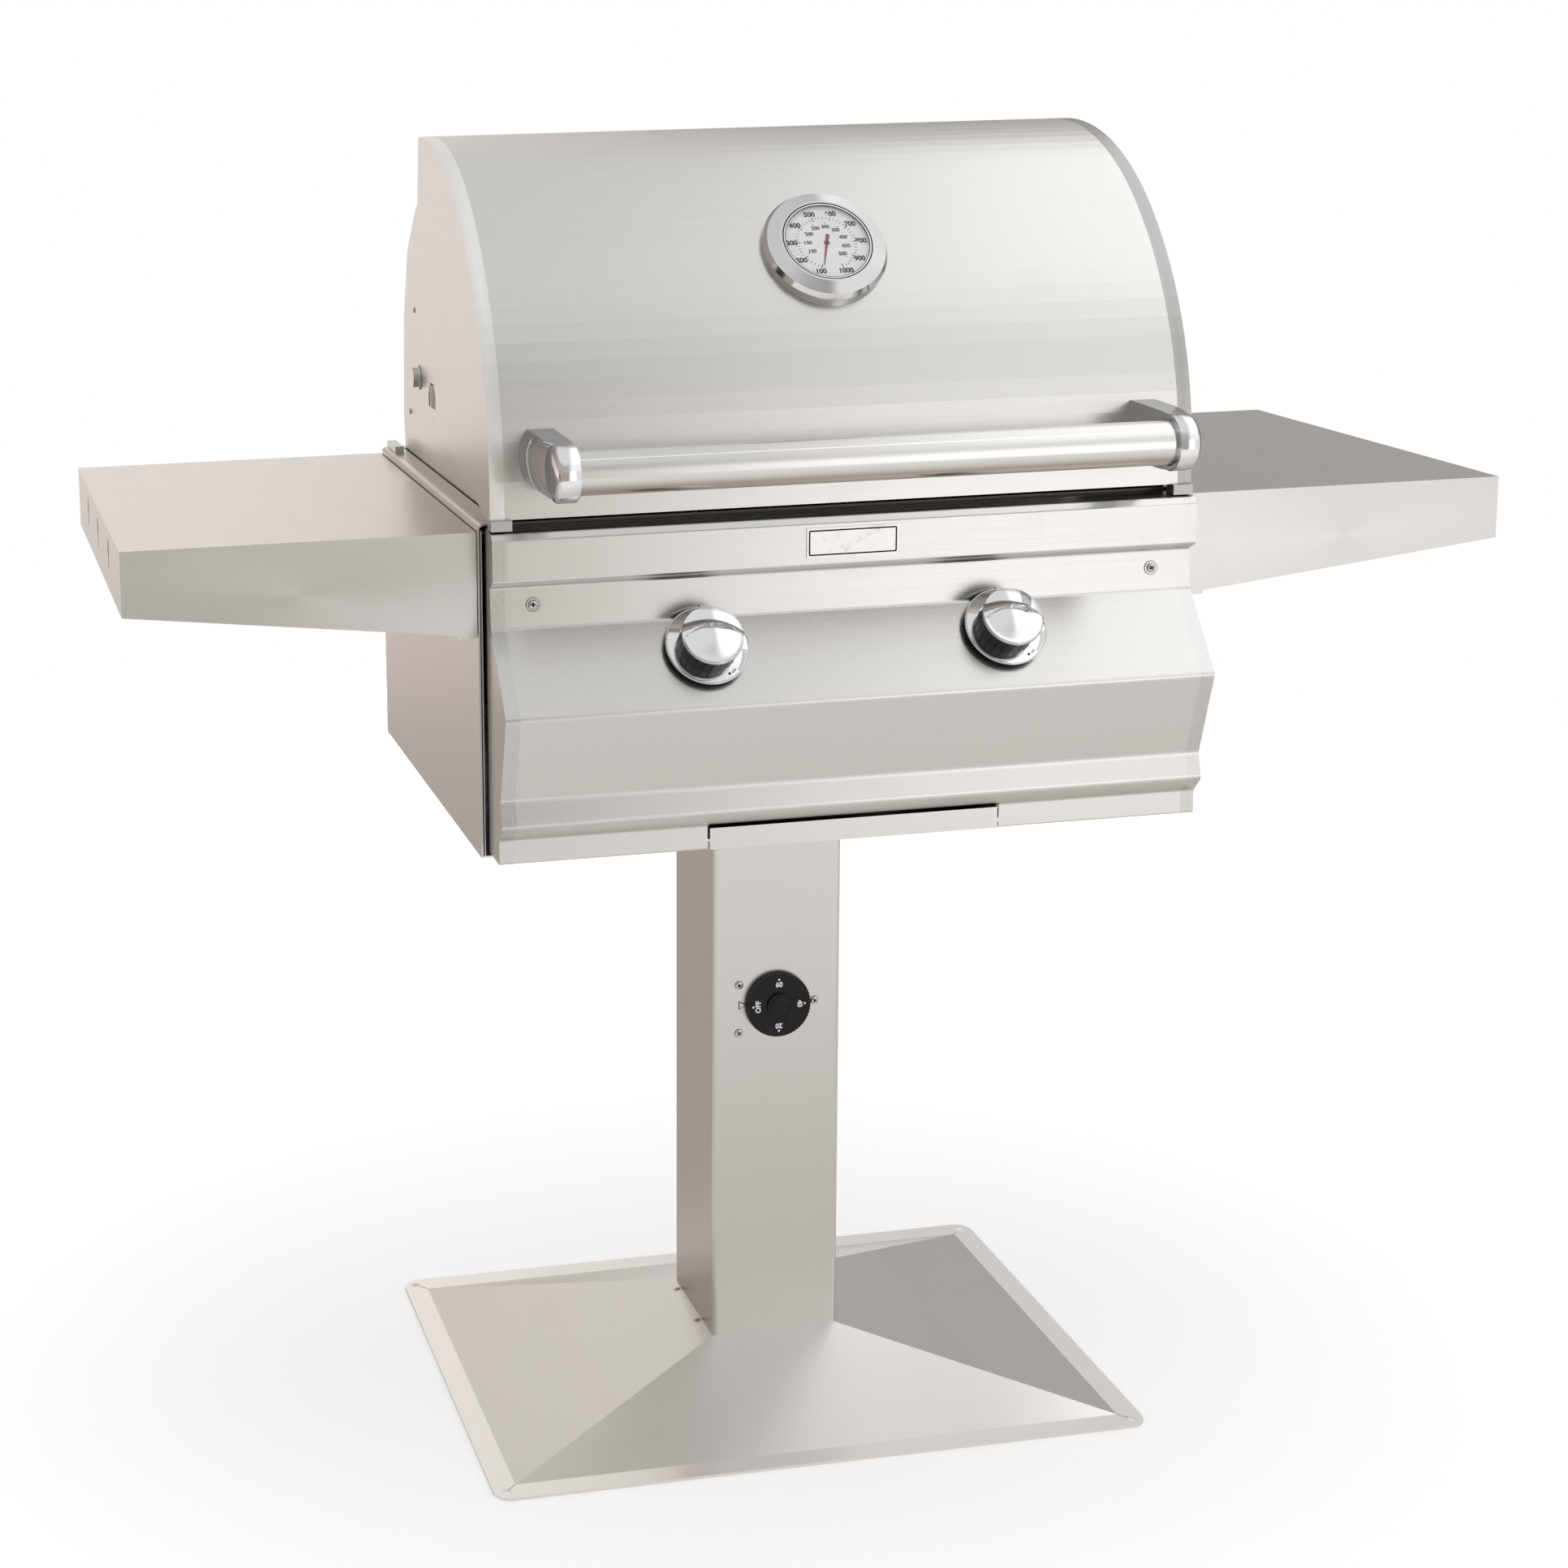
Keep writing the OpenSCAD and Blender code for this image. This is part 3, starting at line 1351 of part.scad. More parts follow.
module knob_skirt() {
  sole_z = grip_low - skirt_rim_t;
  color(bright) on_face() rotate_extrude() polygon([
    [stem_hole_r, sole_z],
    [stem_hole_r, grip_low],
    [skirt_foot_r, grip_low],
    [skirt_r - skirt_rim_t, skirt_rim_low + skirt_rim_t],
    [skirt_r, skirt_rim_low + skirt_rim_t],
    [skirt_r, skirt_rim_low],
    [skirt_r - skirt_rim_t, skirt_rim_low],
    [skirt_foot_r, sole_z]]);
}

// The grip's bore follows the stem's round and its flat
module knob_grip() {
  flat = stem_flat + running_gap;
  color(dark) on_face() difference() {
    up(grip_low) cylinder(r = grip_r, h = grip_high - grip_low);
    difference() {
      bore(stem_hole_r, grip_low, grip_high);
      block([-stem_r - cut, flat, grip_low - 2 * cut], [stem_r + cut, stem_r + cut, grip_high + 2 * cut]);
    }
  }
}

module knob_cap() {
  rise = cap_high - cap_edge;
  dome_r = (cap_r * cap_r + rise * rise) / (2 * rise);
  color(bright) on_face() difference() {
    union() {
      up(cap_low) cylinder(r1 = grip_r, r2 = cap_r, h = (cap_edge - cap_low) / 2);
      up((cap_edge + cap_low) / 2) cylinder(r = cap_r, h = (cap_edge - cap_low) / 2);
      intersection() {
        up(cap_high - dome_r) sphere(r = dome_r, $fn = 160);
        up((cap_edge + cap_low) / 2) cylinder(r = cap_r, h = cap_high - cap_low);
      }
    }
    translate([0, cap_step_y, cap_step_z]) cylinder(r = cap_step_r, h = cap_high);
    up(cap_low - cut) cylinder(r = cap_pocket_r, h = stem_len + knob_travel + cut - cap_low + cut);
  }
}

module tray_runners() {
  ledge_z = tray_rim_z - slide_gap;
  color(steel) both_sides() along_y(runner_front_y, runner_back_y) polygon([
    [runner_web_x, floor_top_z],
    [runner_foot_x, floor_top_z],
    [runner_foot_x, floor_top_z + runner_sheet],
    [runner_web_x + runner_sheet, floor_top_z + runner_sheet],
    [runner_web_x + runner_sheet, ledge_z + 2 * runner_sheet],
    [runner_web_x, ledge_z + 2 * runner_sheet],
    [runner_web_x, ledge_z],
    [runner_ledge_x, ledge_z],
    [runner_ledge_x, ledge_z - runner_sheet],
    [runner_web_x, ledge_z - runner_sheet]]);
}

module drip_tray() {
  rim_top_z = tray_rim_z + tray_sheet;
  front_y = tray_lip_y + tray_sheet;
  color(steel) difference() {
    union() {
      block([-tray_half_x, front_y, tray_low_z], [tray_half_x, tray_back_y, rim_top_z]);
      block([-tray_rim_half_x, front_y, tray_rim_z], [tray_rim_half_x, tray_back_y, rim_top_z]);
      block([-tray_lip_half_x, tray_lip_y, tray_lip_low_z], [tray_lip_half_x, front_y, tray_lip_high_z]);
    }
    block([tray_sheet - tray_half_x, front_y, tray_low_z + tray_sheet],
      [tray_half_x - tray_sheet, tray_back_y - tray_sheet, tray_lip_high_z + cut]);
  }
}

cover_path = bent_path([
  [liner_back_y, body_top_z],
  [cover_belly_y, cover_belly_z, cover_round],
  [cover_waist_y, cover_waist_z, cover_round],
  [cover_shoulder_y, cover_shoulder_z, cover_round],
  [cover_crown_y, cover_crown_z, cover_round],
  [cover_lip_y, cover_lip_z]]);

module rivet_places() {
  for (p = [[rivet_y, rivet_z], [rivet_low_y, rivet_low_z]]) translate([0, p[0], p[1]]) children();
}

module rear_enclosure() {
  color(steel) difference() {
    union() {
      along_x(-wing_in_x, wing_in_x) polygon(sheet_outline(cover_path, wing_sheet));
      both_sides() intersection() {
        rivet_places() block([wing_in_x - wing_sheet, -rivet_tab / 2, -rivet_tab / 2],
          [wing_in_x, liner_back_y, rivet_tab / 2]);
        along_x(wing_in_x - wing_sheet, wing_in_x) wing_outline();
      }
    }
    both_sides() rivet_places()
      rod_x(rivet_shank_r + screw_gap, wing_in_x - wing_sheet - cut, wing_in_x + cut, 0, 0);
  }
}

module wing_outline() {
  polygon(concat(cover_path, [
    [wing_knee_y, wing_knee_z],
    [liner_front_y, wing_front_z],
    [liner_front_y, body_top_z]]));
}

module right_wing() {
  color(steel) difference() {
    along_x(wing_in_x, wing_x) wing_outline();
    rod_x(hinge_r + screw_gap, wing_in_x - cut, wing_x + cut, hinge_y, hinge_z);
    rivet_places() rod_x(rivet_shank_r + screw_gap, wing_in_x - cut, wing_x + cut, 0, 0);
  }
}

module enclosure_rivets() {
  low_x = wing_in_x - wing_sheet;
  color(bright) both_sides() rivet_places() {
    rod_x(rivet_r, low_x - rivet_t, low_x, 0, 0);
    rod_x(rivet_shank_r, low_x - rivet_t, wing_x + rivet_t, 0, 0);
    rod_x(rivet_r, wing_x, wing_x + rivet_t, 0, 0);
  }
}

module hinge_bolts() {
  washer_x = hood_half_x + side_gap;
  color(bright) both_sides() {
    hex_x(hinge_nut_r, wing_in_x - hinge_nut_t, wing_in_x, hinge_y, hinge_z);
    rod_x(hinge_spacer_r, wing_x, hood_side_in_x - side_gap, hinge_y, hinge_z);
    rod_x(hinge_r, wing_in_x - hinge_nut_t, washer_x + hinge_washer_t, hinge_y, hinge_z);
    rod_x(hinge_washer_r, washer_x, washer_x + hinge_washer_t, hinge_y, hinge_z);
    rod_x(hinge_head_r, washer_x, washer_x + hinge_washer_t + hinge_head_t, hinge_y, hinge_z);
  }
}

module rear_nubs() {
  color(dark) both_sides()
    block([nub_x, nub_front_y, body_top_z], [body_x - flange_bend_r, nub_back_y, body_top_z + nub_h]);
}

hood_front_y = hood_centre_y - hood_front_r;
hood_front_c = [hood_centre_y, hood_centre_z];
hood_top_c = hood_front_c + (hood_front_r - hood_top_r) * [-cos(hood_change), sin(hood_change)];
hood_end_turn = acos((hood_top_c[0] - hood_back_y) / hood_top_r);
hood_curve = concat(
  arc(hood_front_c, hood_front_r, 0, hood_change, hood_front_steps),
  [for (k = [1:hood_top_steps]) arc(hood_top_c, hood_top_r, hood_change, hood_end_turn, hood_top_steps)[k]]);
hood_top_z = hood_curve[len(hood_curve) - 1][1];
hood_path = concat(
  [[hood_front_y + hood_hem, hood_low_z], [hood_front_y, hood_low_z]],
  hood_curve,
  [[hood_back_y, hood_top_z - hood_hem]]);

// Moves a shape drawn with +Z outward to a place round the hood's front curve
module on_hood(turn) {
  translate([0, hood_centre_y - hood_front_r * cos(turn), hood_centre_z + hood_front_r * sin(turn)])
    rotate([90 - turn, 0, 0]) children();
}

foot_mid_x = (foot_in_x + foot_out_x) / 2;
foot_mid_z = (foot_top_z + foot_low_z) / 2;

module handle_bolt_places() {
  for (side = [-1, 1]) along(foot_mid_x)
    on_hood(asin((foot_mid_z + side * handle_bolt_up - hood_centre_z) / hood_front_r)) children();
}

module hood_shell() {
  color(steel) difference() {
    along_x(-hood_end_x, hood_end_x) polygon(sheet_outline(hood_path, -hood_sheet));
    on_hood(thermo_turn) bore(probe_r + screw_gap, -hood_sheet * 2, hood_sheet);
    both_sides() handle_bolt_places() bore(handle_bolt_r + screw_gap, -hood_sheet * 2, hood_sheet);
  }
}

module spit_hole() {
  neck_z = spit_high_z - spit_neck_h;
  polygon([
    [spit_y - spit_wide / 2, spit_low_z],
    [spit_y + spit_wide / 2, spit_low_z],
    [spit_y + spit_wide / 2, neck_z],
    [spit_y + spit_narrow / 2, spit_high_z],
    [spit_y - spit_narrow / 2, spit_high_z],
    [spit_y - spit_wide / 2, neck_z]]);
}

module right_hood_side() {
  top = [hood_back_y, hood_top_z];
  corner = bend(top, [hood_corner_y, hood_corner_z], [hood_slant_y, hood_low_z], hinge_ear_r);
  color(bright) union() {
    along_x(hood_end_x, hood_half_x) polygon(sheet_outline(hood_path, -hood_sheet));
    difference() {
      along_x(hood_side_in_x, hood_half_x)
        polygon(concat([[hood_slant_y, hood_low_z], [hood_front_y, hood_low_z]], hood_curve, corner));
      along_x(hood_side_in_x - cut, hood_half_x + cut) spit_hole();
      rod_x(hinge_hole_r, hood_side_in_x - cut, hood_half_x + cut, hinge_y, hinge_z);
    }
  }
}

module hood_pads() {
  color(iron) both_sides() block([hood_half_x - pad_w, hood_front_y - pad_front, pad_low_z],
    [hood_half_x, hood_front_y + hood_hem, hood_low_z]);
}

module handle_tube() {
  half = handle_half + handle_socket;
  color(steel) difference() {
    rod_x(handle_r, -half, half, handle_y, handle_z);
    rod_x(handle_r - handle_wall, -half - cut, half + cut, handle_y, handle_z);
  }
}

module right_handle_bracket() {
  color(bright) difference() {
    union() {
      rod_x(collar_r, handle_half, collar_out_x, handle_y, handle_z);
      translate([collar_out_x, handle_y, handle_z]) rotate([0, 90, 0])
        cylinder(r1 = collar_r, r2 = dome_r, h = dome_out_x - collar_out_x);
      intersection() {
        along_x(handle_half, foot_out_x) polygon([
          [handle_y, handle_z + collar_r],
          [handle_y, handle_z - collar_r],
          [hood_front_y + collar_r, foot_low_z],
          [hood_front_y + collar_r, foot_top_z],
          [hood_front_y, foot_top_z]]);
        up(foot_low_z - collar_r) linear_extrude(height = foot_top_z - foot_low_z + 2 * collar_r)
          polygon([
            [handle_half, handle_y - collar_r],
            [dome_out_x - handle_socket, handle_y - collar_r],
            [collar_out_x, handle_y + collar_r / 2],
            [foot_out_x, hood_front_y - handle_socket],
            [foot_out_x, hood_front_y + collar_r],
            [foot_in_x, hood_front_y + collar_r],
            [foot_in_x, hood_front_y - handle_socket],
            [handle_half, handle_y + collar_r]]);
      }
    }
    rod_x(hood_front_r + screw_gap / 2, handle_half - cut, foot_out_x + cut, hood_centre_y, hood_centre_z);
    rod_x(bracket_hole_r, handle_half - cut, handle_half + handle_socket, handle_y, handle_z);
    handle_bolt_places() cylinder(r = handle_bolt_r + screw_gap, h = handle_bolt_len + screw_gap);
  }
}

module handle_bolts() {
  under = hood_sheet + side_gap;
  color(bright) both_sides() handle_bolt_places() {
    up(-under - handle_nut_t) cylinder(r = handle_bolt_r, h = under + handle_nut_t + handle_bolt_len);
    hex_z(handle_nut_r, -under - handle_nut_t, -under, 0, 0);
  }
}

module thermometer_case() {
  floor_top = thermo_floor_z + thermo_floor_t;
  skirt_in_r = bezel_out_r - bezel_skirt_t;
  wide = bezel_out_r + cut;
  color(bright) union() {
    difference() {
      on_hood(thermo_turn) rotate_extrude($fn = 128) polygon([
        [0, thermo_floor_z],
        [skirt_in_r, thermo_floor_z],
        [skirt_in_r, -bezel_skirt_low],
        [bezel_out_r, -bezel_skirt_low],
        [bezel_out_r, bezel_wall_z],
        [bezel_ring_r, bezel_ring_z],
        [bezel_crest_r, bezel_top_z],
        [bezel_inner_r, bezel_top_z],
        [bezel_inner_r, glass_z],
        [glass_seat_r, glass_z],
        [glass_seat_r, dial_z],
        [dial_seat_r, dial_z],
        [dial_seat_r, floor_top],
        [0, floor_top]]);
      rod_x(hood_front_r + screw_gap / 2, -wide, wide, hood_centre_y, hood_centre_z);
    }
    on_hood(thermo_turn) {
      up(-probe_len) cylinder(r = probe_r, h = probe_len + thermo_floor_z);
      hex_z(probe_nut_r, -probe_nut_low, -probe_nut_high, 0, 0);
    }
  }
}

module thermometer_dial() {
  color([0.93, 0.93, 0.93]) on_hood(thermo_turn) difference() {
    up(dial_z) cylinder(r = glass_seat_r - screw_gap, h = dial_t);
    bore(needle_pin_r + running_gap, dial_z, dial_z + dial_t);
  }
}

module thermometer_glass() {
  color([0.85, 0.9, 0.92, 0.35]) on_hood(thermo_turn) up(glass_z)
    cylinder(r = bezel_inner_r - screw_gap, h = glass_t);
}

module thermometer_needle() {
  color([0.6, 0.1, 0.08]) on_hood(thermo_turn) rotate([0, 0, -needle_turn]) union() {
    up(dial_z) cylinder(r = needle_pin_r, h = needle_z + needle_t - dial_z);
    up(needle_z) cylinder(r = needle_hub_r, h = needle_t);
    up(needle_z) linear_extrude(height = needle_t) polygon([
      [-needle_w, 0],
      [-needle_w / 2, -needle_tail],
      [needle_w / 2, -needle_tail],
      [needle_w, 0],
      [needle_w / 4, needle_len],
      [-needle_w / 4, needle_len]]);
  }
}

module keyhole(y) {
  wide_r = key_wide / 2;
  narrow_r = key_narrow / 2;
  along_x(shelf_out_x - shelf_sheet - cut, shelf_out_x + cut) union() {
    translate([y, key_high_z - wide_r]) circle(r = wide_r);
    translate([y - wide_r, key_high_z - key_wide_h]) square([key_wide, key_wide_h - wide_r]);
    translate([y - narrow_r, key_low_z + narrow_r])
      square([key_narrow, key_high_z - key_low_z - wide_r]);
    translate([y, key_low_z + narrow_r]) circle(r = narrow_r);
  }
}

module upright(x0, x1, z0, z1) {
  block([x0, shelf_front_y, z0], [x1, shelf_back_y, z1]);
}

module right_shelf() {
  in_top = shelf_top_z - shelf_sheet;
  color(steel) difference() {
    union() {
      upright(shelf_in_x, shelf_out_x, in_top, shelf_top_z);
      for (y = [shelf_front_y, shelf_back_y - shelf_sheet]) along_y(y, y + shelf_sheet) polygon([
        [shelf_in_x, shelf_root_z],
        [shelf_step_x, shelf_root_z],
        [shelf_step_x, shelf_step_z],
        [shelf_out_x, shelf_end_z],
        [shelf_out_x, shelf_top_z],
        [shelf_in_x, shelf_top_z]]);
      upright(shelf_out_x - shelf_sheet, shelf_out_x, shelf_end_z, shelf_top_z);
      upright(shelf_out_x - shelf_lip, shelf_out_x, shelf_end_z, shelf_end_z + shelf_sheet);
      upright(shelf_in_x, shelf_in_x + shelf_sheet, shelf_root_z, shelf_top_z);
    }
    for (y = [key_mid_y - key_pitch, key_mid_y, key_mid_y + key_pitch]) keyhole(y);
    shelf_bolt_places()
      rod_x(shelf_bolt_hole_r, shelf_in_x - cut, shelf_in_x + shelf_sheet + cut, 0, 0);
  }
}

module shelf_bolts() {
  nut_x = inner_sheet_x - inner_sheet_t;
  head_x = shelf_in_x + shelf_sheet;
  color(bright) both_sides() shelf_bolt_places() {
    rod_x(shelf_bolt_head_r, nut_x - shelf_bolt_head_t, nut_x, 0, 0);
    rod_x(shelf_bolt_r, nut_x - shelf_bolt_head_t, head_x + shelf_bolt_head_t, 0, 0);
    rod_x(shelf_bolt_head_r, body_x, shelf_in_x, 0, 0);
    rod_x(shelf_bolt_head_r, head_x, head_x + shelf_bolt_head_t, 0, 0);
  }
}

// Left and right pieces
module left_grid() flipped() right_grid();
module left_body_side() flipped() right_body_side();
module left_panel_band() flipped() right_panel_band();
module left_wing() flipped() right_wing();
module left_hood_side() flipped() right_hood_side();
module left_handle_bracket() flipped() right_handle_bracket();
module left_shelf() flipped() right_shelf();
module right_valve_stem() along(burner_x) valve_stem();
module left_valve_stem() along(-burner_x) valve_stem();
module right_knob_skirt() along(burner_x) knob_skirt();
module left_knob_skirt() along(-burner_x) knob_skirt();
module right_knob_grip() along(burner_x) knob_grip();
module left_knob_grip() along(-burner_x) knob_grip();
module right_knob_cap() along(burner_x) knob_cap();
module left_knob_cap() along(-burner_x) knob_cap();

base_plate();
post_tube();
post_top_plate();
post_bolts();
timer_valve();
timer_screws();
inlet_pipe();
supply_pipe();
manifold();
body_floor();
left_body_side();
right_body_side();
inner_side_sheets();
rear_panel();
firebox_liner();
left_grid();
right_grid();
heat_shields();
warming_rack();
burners();
igniters();
control_panel();
left_panel_band();
right_panel_band();
panel_screws();
nameplate();
knob_collars();
valve_bodies();
tray_runners();
rear_enclosure();
left_wing();
right_wing();
enclosure_rivets();
hinge_bolts();
rear_nubs();
left_shelf();
right_shelf();
shelf_bolts();
hood_shell();
left_hood_side();
right_hood_side();
hood_pads();
handle_tube();
left_handle_bracket();
right_handle_bracket();
handle_bolts();
thermometer_case();
thermometer_dial();
thermometer_glass();
thermometer_needle();
left_valve_stem();
right_valve_stem();
left_knob_skirt();
left_knob_grip();
left_knob_cap();
right_knob_skirt();
right_knob_grip();
right_knob_cap();
timer_dial();
drip_tray();
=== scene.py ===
import math

import bmesh
import bpy
from mathutils import Matrix, Vector


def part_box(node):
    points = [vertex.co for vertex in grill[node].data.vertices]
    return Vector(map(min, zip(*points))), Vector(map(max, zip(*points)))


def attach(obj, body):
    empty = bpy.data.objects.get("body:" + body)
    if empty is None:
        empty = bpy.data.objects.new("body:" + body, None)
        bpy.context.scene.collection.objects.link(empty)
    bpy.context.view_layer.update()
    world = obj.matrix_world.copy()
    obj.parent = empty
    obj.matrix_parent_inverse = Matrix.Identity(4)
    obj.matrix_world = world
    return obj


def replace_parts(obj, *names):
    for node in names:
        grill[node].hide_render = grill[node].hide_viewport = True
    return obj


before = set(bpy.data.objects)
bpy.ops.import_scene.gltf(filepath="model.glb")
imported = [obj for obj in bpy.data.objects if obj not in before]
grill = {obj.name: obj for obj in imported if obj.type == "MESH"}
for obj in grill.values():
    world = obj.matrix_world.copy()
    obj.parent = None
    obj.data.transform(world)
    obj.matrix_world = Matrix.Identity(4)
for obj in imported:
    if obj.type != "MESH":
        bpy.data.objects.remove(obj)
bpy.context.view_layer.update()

MM = 0.001
FULL_TURN = 2 * math.pi

# Where the knobs, the thermometer and the timer sit, as in the part's source
KNOB_SIDE = 147.5 * MM
KNOB_SEAT_Y = -293.824 * MM
KNOB_SEAT_Z = 872.780 * MM
FACE_OUT = Vector((0, -0.785460, 0.618912))
GAUGE_SEAT = Vector((0, -193.184 * MM, 1232.539 * MM))
GAUGE_OUT = Vector((0, -0.772734, 0.634731)).normalized()
TIMER_HEIGHT = 430.5 * MM
POST_FACE_Y = -70 * MM
PANEL_SCREW_SIDE = 307.5 * MM
PANEL_SCREW_Z = 920.3 * MM
NECK_LOW = Vector((0, -273.4 * MM, 898.7 * MM))
NECK_HIGH = Vector((0, -269.6 * MM, 937.5 * MM))
HOOD_CENTRE_Y = 68 * MM
HOOD_CENTRE_Z = 1018 * MM
HANDLE_Y = -345 * MM
HANDLE_Z = 1055 * MM


def seat_at(place, out, across=Vector((1, 0, 0))):
    """A seat on a face: its own Z points out of the face, its X runs across."""
    up = out.cross(across).normalized()
    turn = Matrix((across, up, out)).transposed().to_4x4()
    return Matrix.Translation(place) @ turn


def knob_seat(side):
    return seat_at(Vector((side * KNOB_SIDE, KNOB_SEAT_Y, KNOB_SEAT_Z)), FACE_OUT)


GAUGE = seat_at(GAUGE_SEAT, GAUGE_OUT)


def post_seat():
    return seat_at(Vector((0, POST_FACE_Y, TIMER_HEIGHT)), Vector((0, -1, 0)))


def neck_seat(across, height, lift=0.0):
    """A seat on the panel's flat neck, above the knobs."""
    climb = (NECK_HIGH - NECK_LOW).normalized()
    out = Vector((0, -climb.z, climb.y))
    share = (height - NECK_LOW.z) / (NECK_HIGH.z - NECK_LOW.z)
    place = NECK_LOW.lerp(NECK_HIGH, share) + out * lift
    place.x = across
    return seat_at(place, out)


# Finishes


def new_finish(name):
    finish = bpy.data.materials.new(name)
    finish.use_nodes = True
    tree = finish.node_tree
    tree.nodes.clear()
    shader = tree.nodes.new("ShaderNodeBsdfPrincipled")
    out = tree.nodes.new("ShaderNodeOutputMaterial")
    tree.links.new(shader.outputs["BSDF"], out.inputs["Surface"])
    return finish, tree, shader


def add_node(tree, kind, **settings):
    node = tree.nodes.new(kind)
    for key, value in settings.items():
        setattr(node, key, value)
    return node


def feed(tree, source, target):
    """Links a socket, or sets the value where the source is a plain one."""
    if isinstance(source, bpy.types.NodeSocket):
        tree.links.new(source, target)
    else:
        target.default_value = source


def wire(tree, node, **values):
    """Fills a node's inputs by name, with _ for each space of the name."""
    for label, value in values.items():
        feed(tree, value, node.inputs[label.replace("_", " ")])


def reckon(tree, operation, first, second=0.0, third=0.0, clamp=False):
    node = add_node(tree, "ShaderNodeMath", operation=operation, use_clamp=clamp)
    for socket, value in zip(node.inputs, (first, second, third)):
        feed(tree, value, socket)
    return node.outputs[0]


def blend_colours(tree, share, first, second):
    node = add_node(tree, "ShaderNodeMix", data_type="RGBA")
    wire(tree, node, Factor=share, A=first, B=second)
    return node.outputs["Result"]


def spread(tree, value, low, high, to_low, to_high, smooth=True):
    node = add_node(tree, "ShaderNodeMapRange")
    node.interpolation_type = "SMOOTHSTEP" if smooth else "LINEAR"
    wire(tree, node, Value=value, From_Min=low, From_Max=high, To_Min=to_low, To_Max=to_high)
    return node.outputs["Result"]


def object_place(tree):
    return add_node(tree, "ShaderNodeTexCoord").outputs["Object"]


def split(tree, vector):
    parts = add_node(tree, "ShaderNodeSeparateXYZ")
    tree.links.new(vector, parts.inputs[0])
    return parts.outputs


def facing_way(tree):
    """Which way a face looks, in the object's own directions."""
    return add_node(tree, "ShaderNodeTexCoord").outputs["Normal"]


def reckon_vector(tree, operation, *values):
    """The same for vectors: gives both outputs, Vector and Value."""
    node = add_node(tree, "ShaderNodeVectorMath", operation=operation)
    for socket, value in zip(node.inputs, values):
        feed(tree, value, socket)
    return node.outputs


def cloud_noise(tree, place, scale, detail, **more):
    node = add_node(tree, "ShaderNodeTexNoise")
    wire(tree, node, Vector=place, Scale=scale, Detail=detail, **more)
    return node.outputs[0]


def effect_group(name, inputs, outputs):
    tree = bpy.data.node_groups.new(name, "ShaderNodeTree")
    for label, kind, value in inputs:
        socket = tree.interface.new_socket(label, in_out="INPUT", socket_type=kind)
        if value is not None:
            socket.default_value = value
    for label, kind in outputs:
        tree.interface.new_socket(label, in_out="OUTPUT", socket_type=kind)
    way_in = tree.nodes.new("NodeGroupInput")
    way_out = tree.nodes.new("NodeGroupOutput")
    return tree, way_in.outputs, way_out.inputs


def make_brush_grain():
    """Long fine scratches of the brushing belt: a shade, and a height for bump."""
    tree, given, out = effect_group(
        "brush_grain",
        [
            ("Place", "NodeSocketVector", None),
            ("Stretch", "NodeSocketVector", (1.0, 1.0, 1.0)),
            ("Fineness", "NodeSocketFloat", 1.0),
        ],
        [("Shade", "NodeSocketFloat"), ("Height", "NodeSocketFloat")],
    )
    drawn = reckon_vector(tree, "MULTIPLY", given["Place"], given["Stretch"])["Vector"]
    layers = []
    for scale, detail in ((2600.0, 2.0), (1100.0, 2.0), (260.0, 1.0)):
        size = reckon(tree, "MULTIPLY", given["Fineness"], scale)
        layers.append(cloud_noise(tree, drawn, size, detail, Roughness=0.6))
    fine = reckon(tree, "MULTIPLY", layers[0], 0.5)
    middle = reckon(tree, "MULTIPLY_ADD", layers[1], 0.3, fine)
    shade = reckon(tree, "MULTIPLY_ADD", layers[2], 0.2, middle)
    tree.links.new(shade, out["Shade"])
    height = reckon(tree, "MULTIPLY_ADD", layers[1], 0.4, fine)
    tree.links.new(height, out["Height"])
    return tree


def make_handling():
    """Broad cloudy wiping marks and small finger smears, from 0 to 1."""
    tree, given, out = effect_group(
        "handling_marks",
        [("Place", "NodeSocketVector", None), ("Size", "NodeSocketFloat", 1.0)],
        [("Clouds", "NodeSocketFloat"), ("Smears", "NodeSocketFloat")],
    )
    size = reckon(tree, "DIVIDE", 4.0, given["Size"])
    cloud = cloud_noise(tree, given["Place"], size, 2.5)
    tree.links.new(spread(tree, cloud, 0.3, 0.7, 0.0, 1.0), out["Clouds"])
    size = reckon(tree, "DIVIDE", 28.0, given["Size"])
    smear = cloud_noise(tree, given["Place"], size, 5.0, Distortion=0.6)
    tree.links.new(spread(tree, smear, 0.52, 0.72, 0.0, 1.0), out["Smears"])
    return tree


def make_pits():
    """Small casting or moulding pits: a height for bump, and a shade."""
    tree, given, out = effect_group(
        "fine_pits",
        [("Place", "NodeSocketVector", None), ("Scale", "NodeSocketFloat", 900.0)],
        [("Height", "NodeSocketFloat"), ("Shade", "NodeSocketFloat")],
    )
    noise = cloud_noise(tree, given["Place"], given["Scale"], 4.0)
    tree.links.new(noise, out["Height"])
    tree.links.new(spread(tree, noise, 0.35, 0.65, 0.0, 1.0), out["Shade"])
    return tree


BRUSH_GRAIN = make_brush_grain()
HANDLING = make_handling()
PITS = make_pits()


def use_group(tree, group, **values):
    node = add_node(tree, "ShaderNodeGroup", node_tree=group)
    wire(tree, node, **values)
    return node.outputs


def bump(tree, height, depth, strength):
    node = add_node(tree, "ShaderNodeBump")
    wire(tree, node, Strength=strength, Distance=depth, Height=height)
    return node.outputs["Normal"]


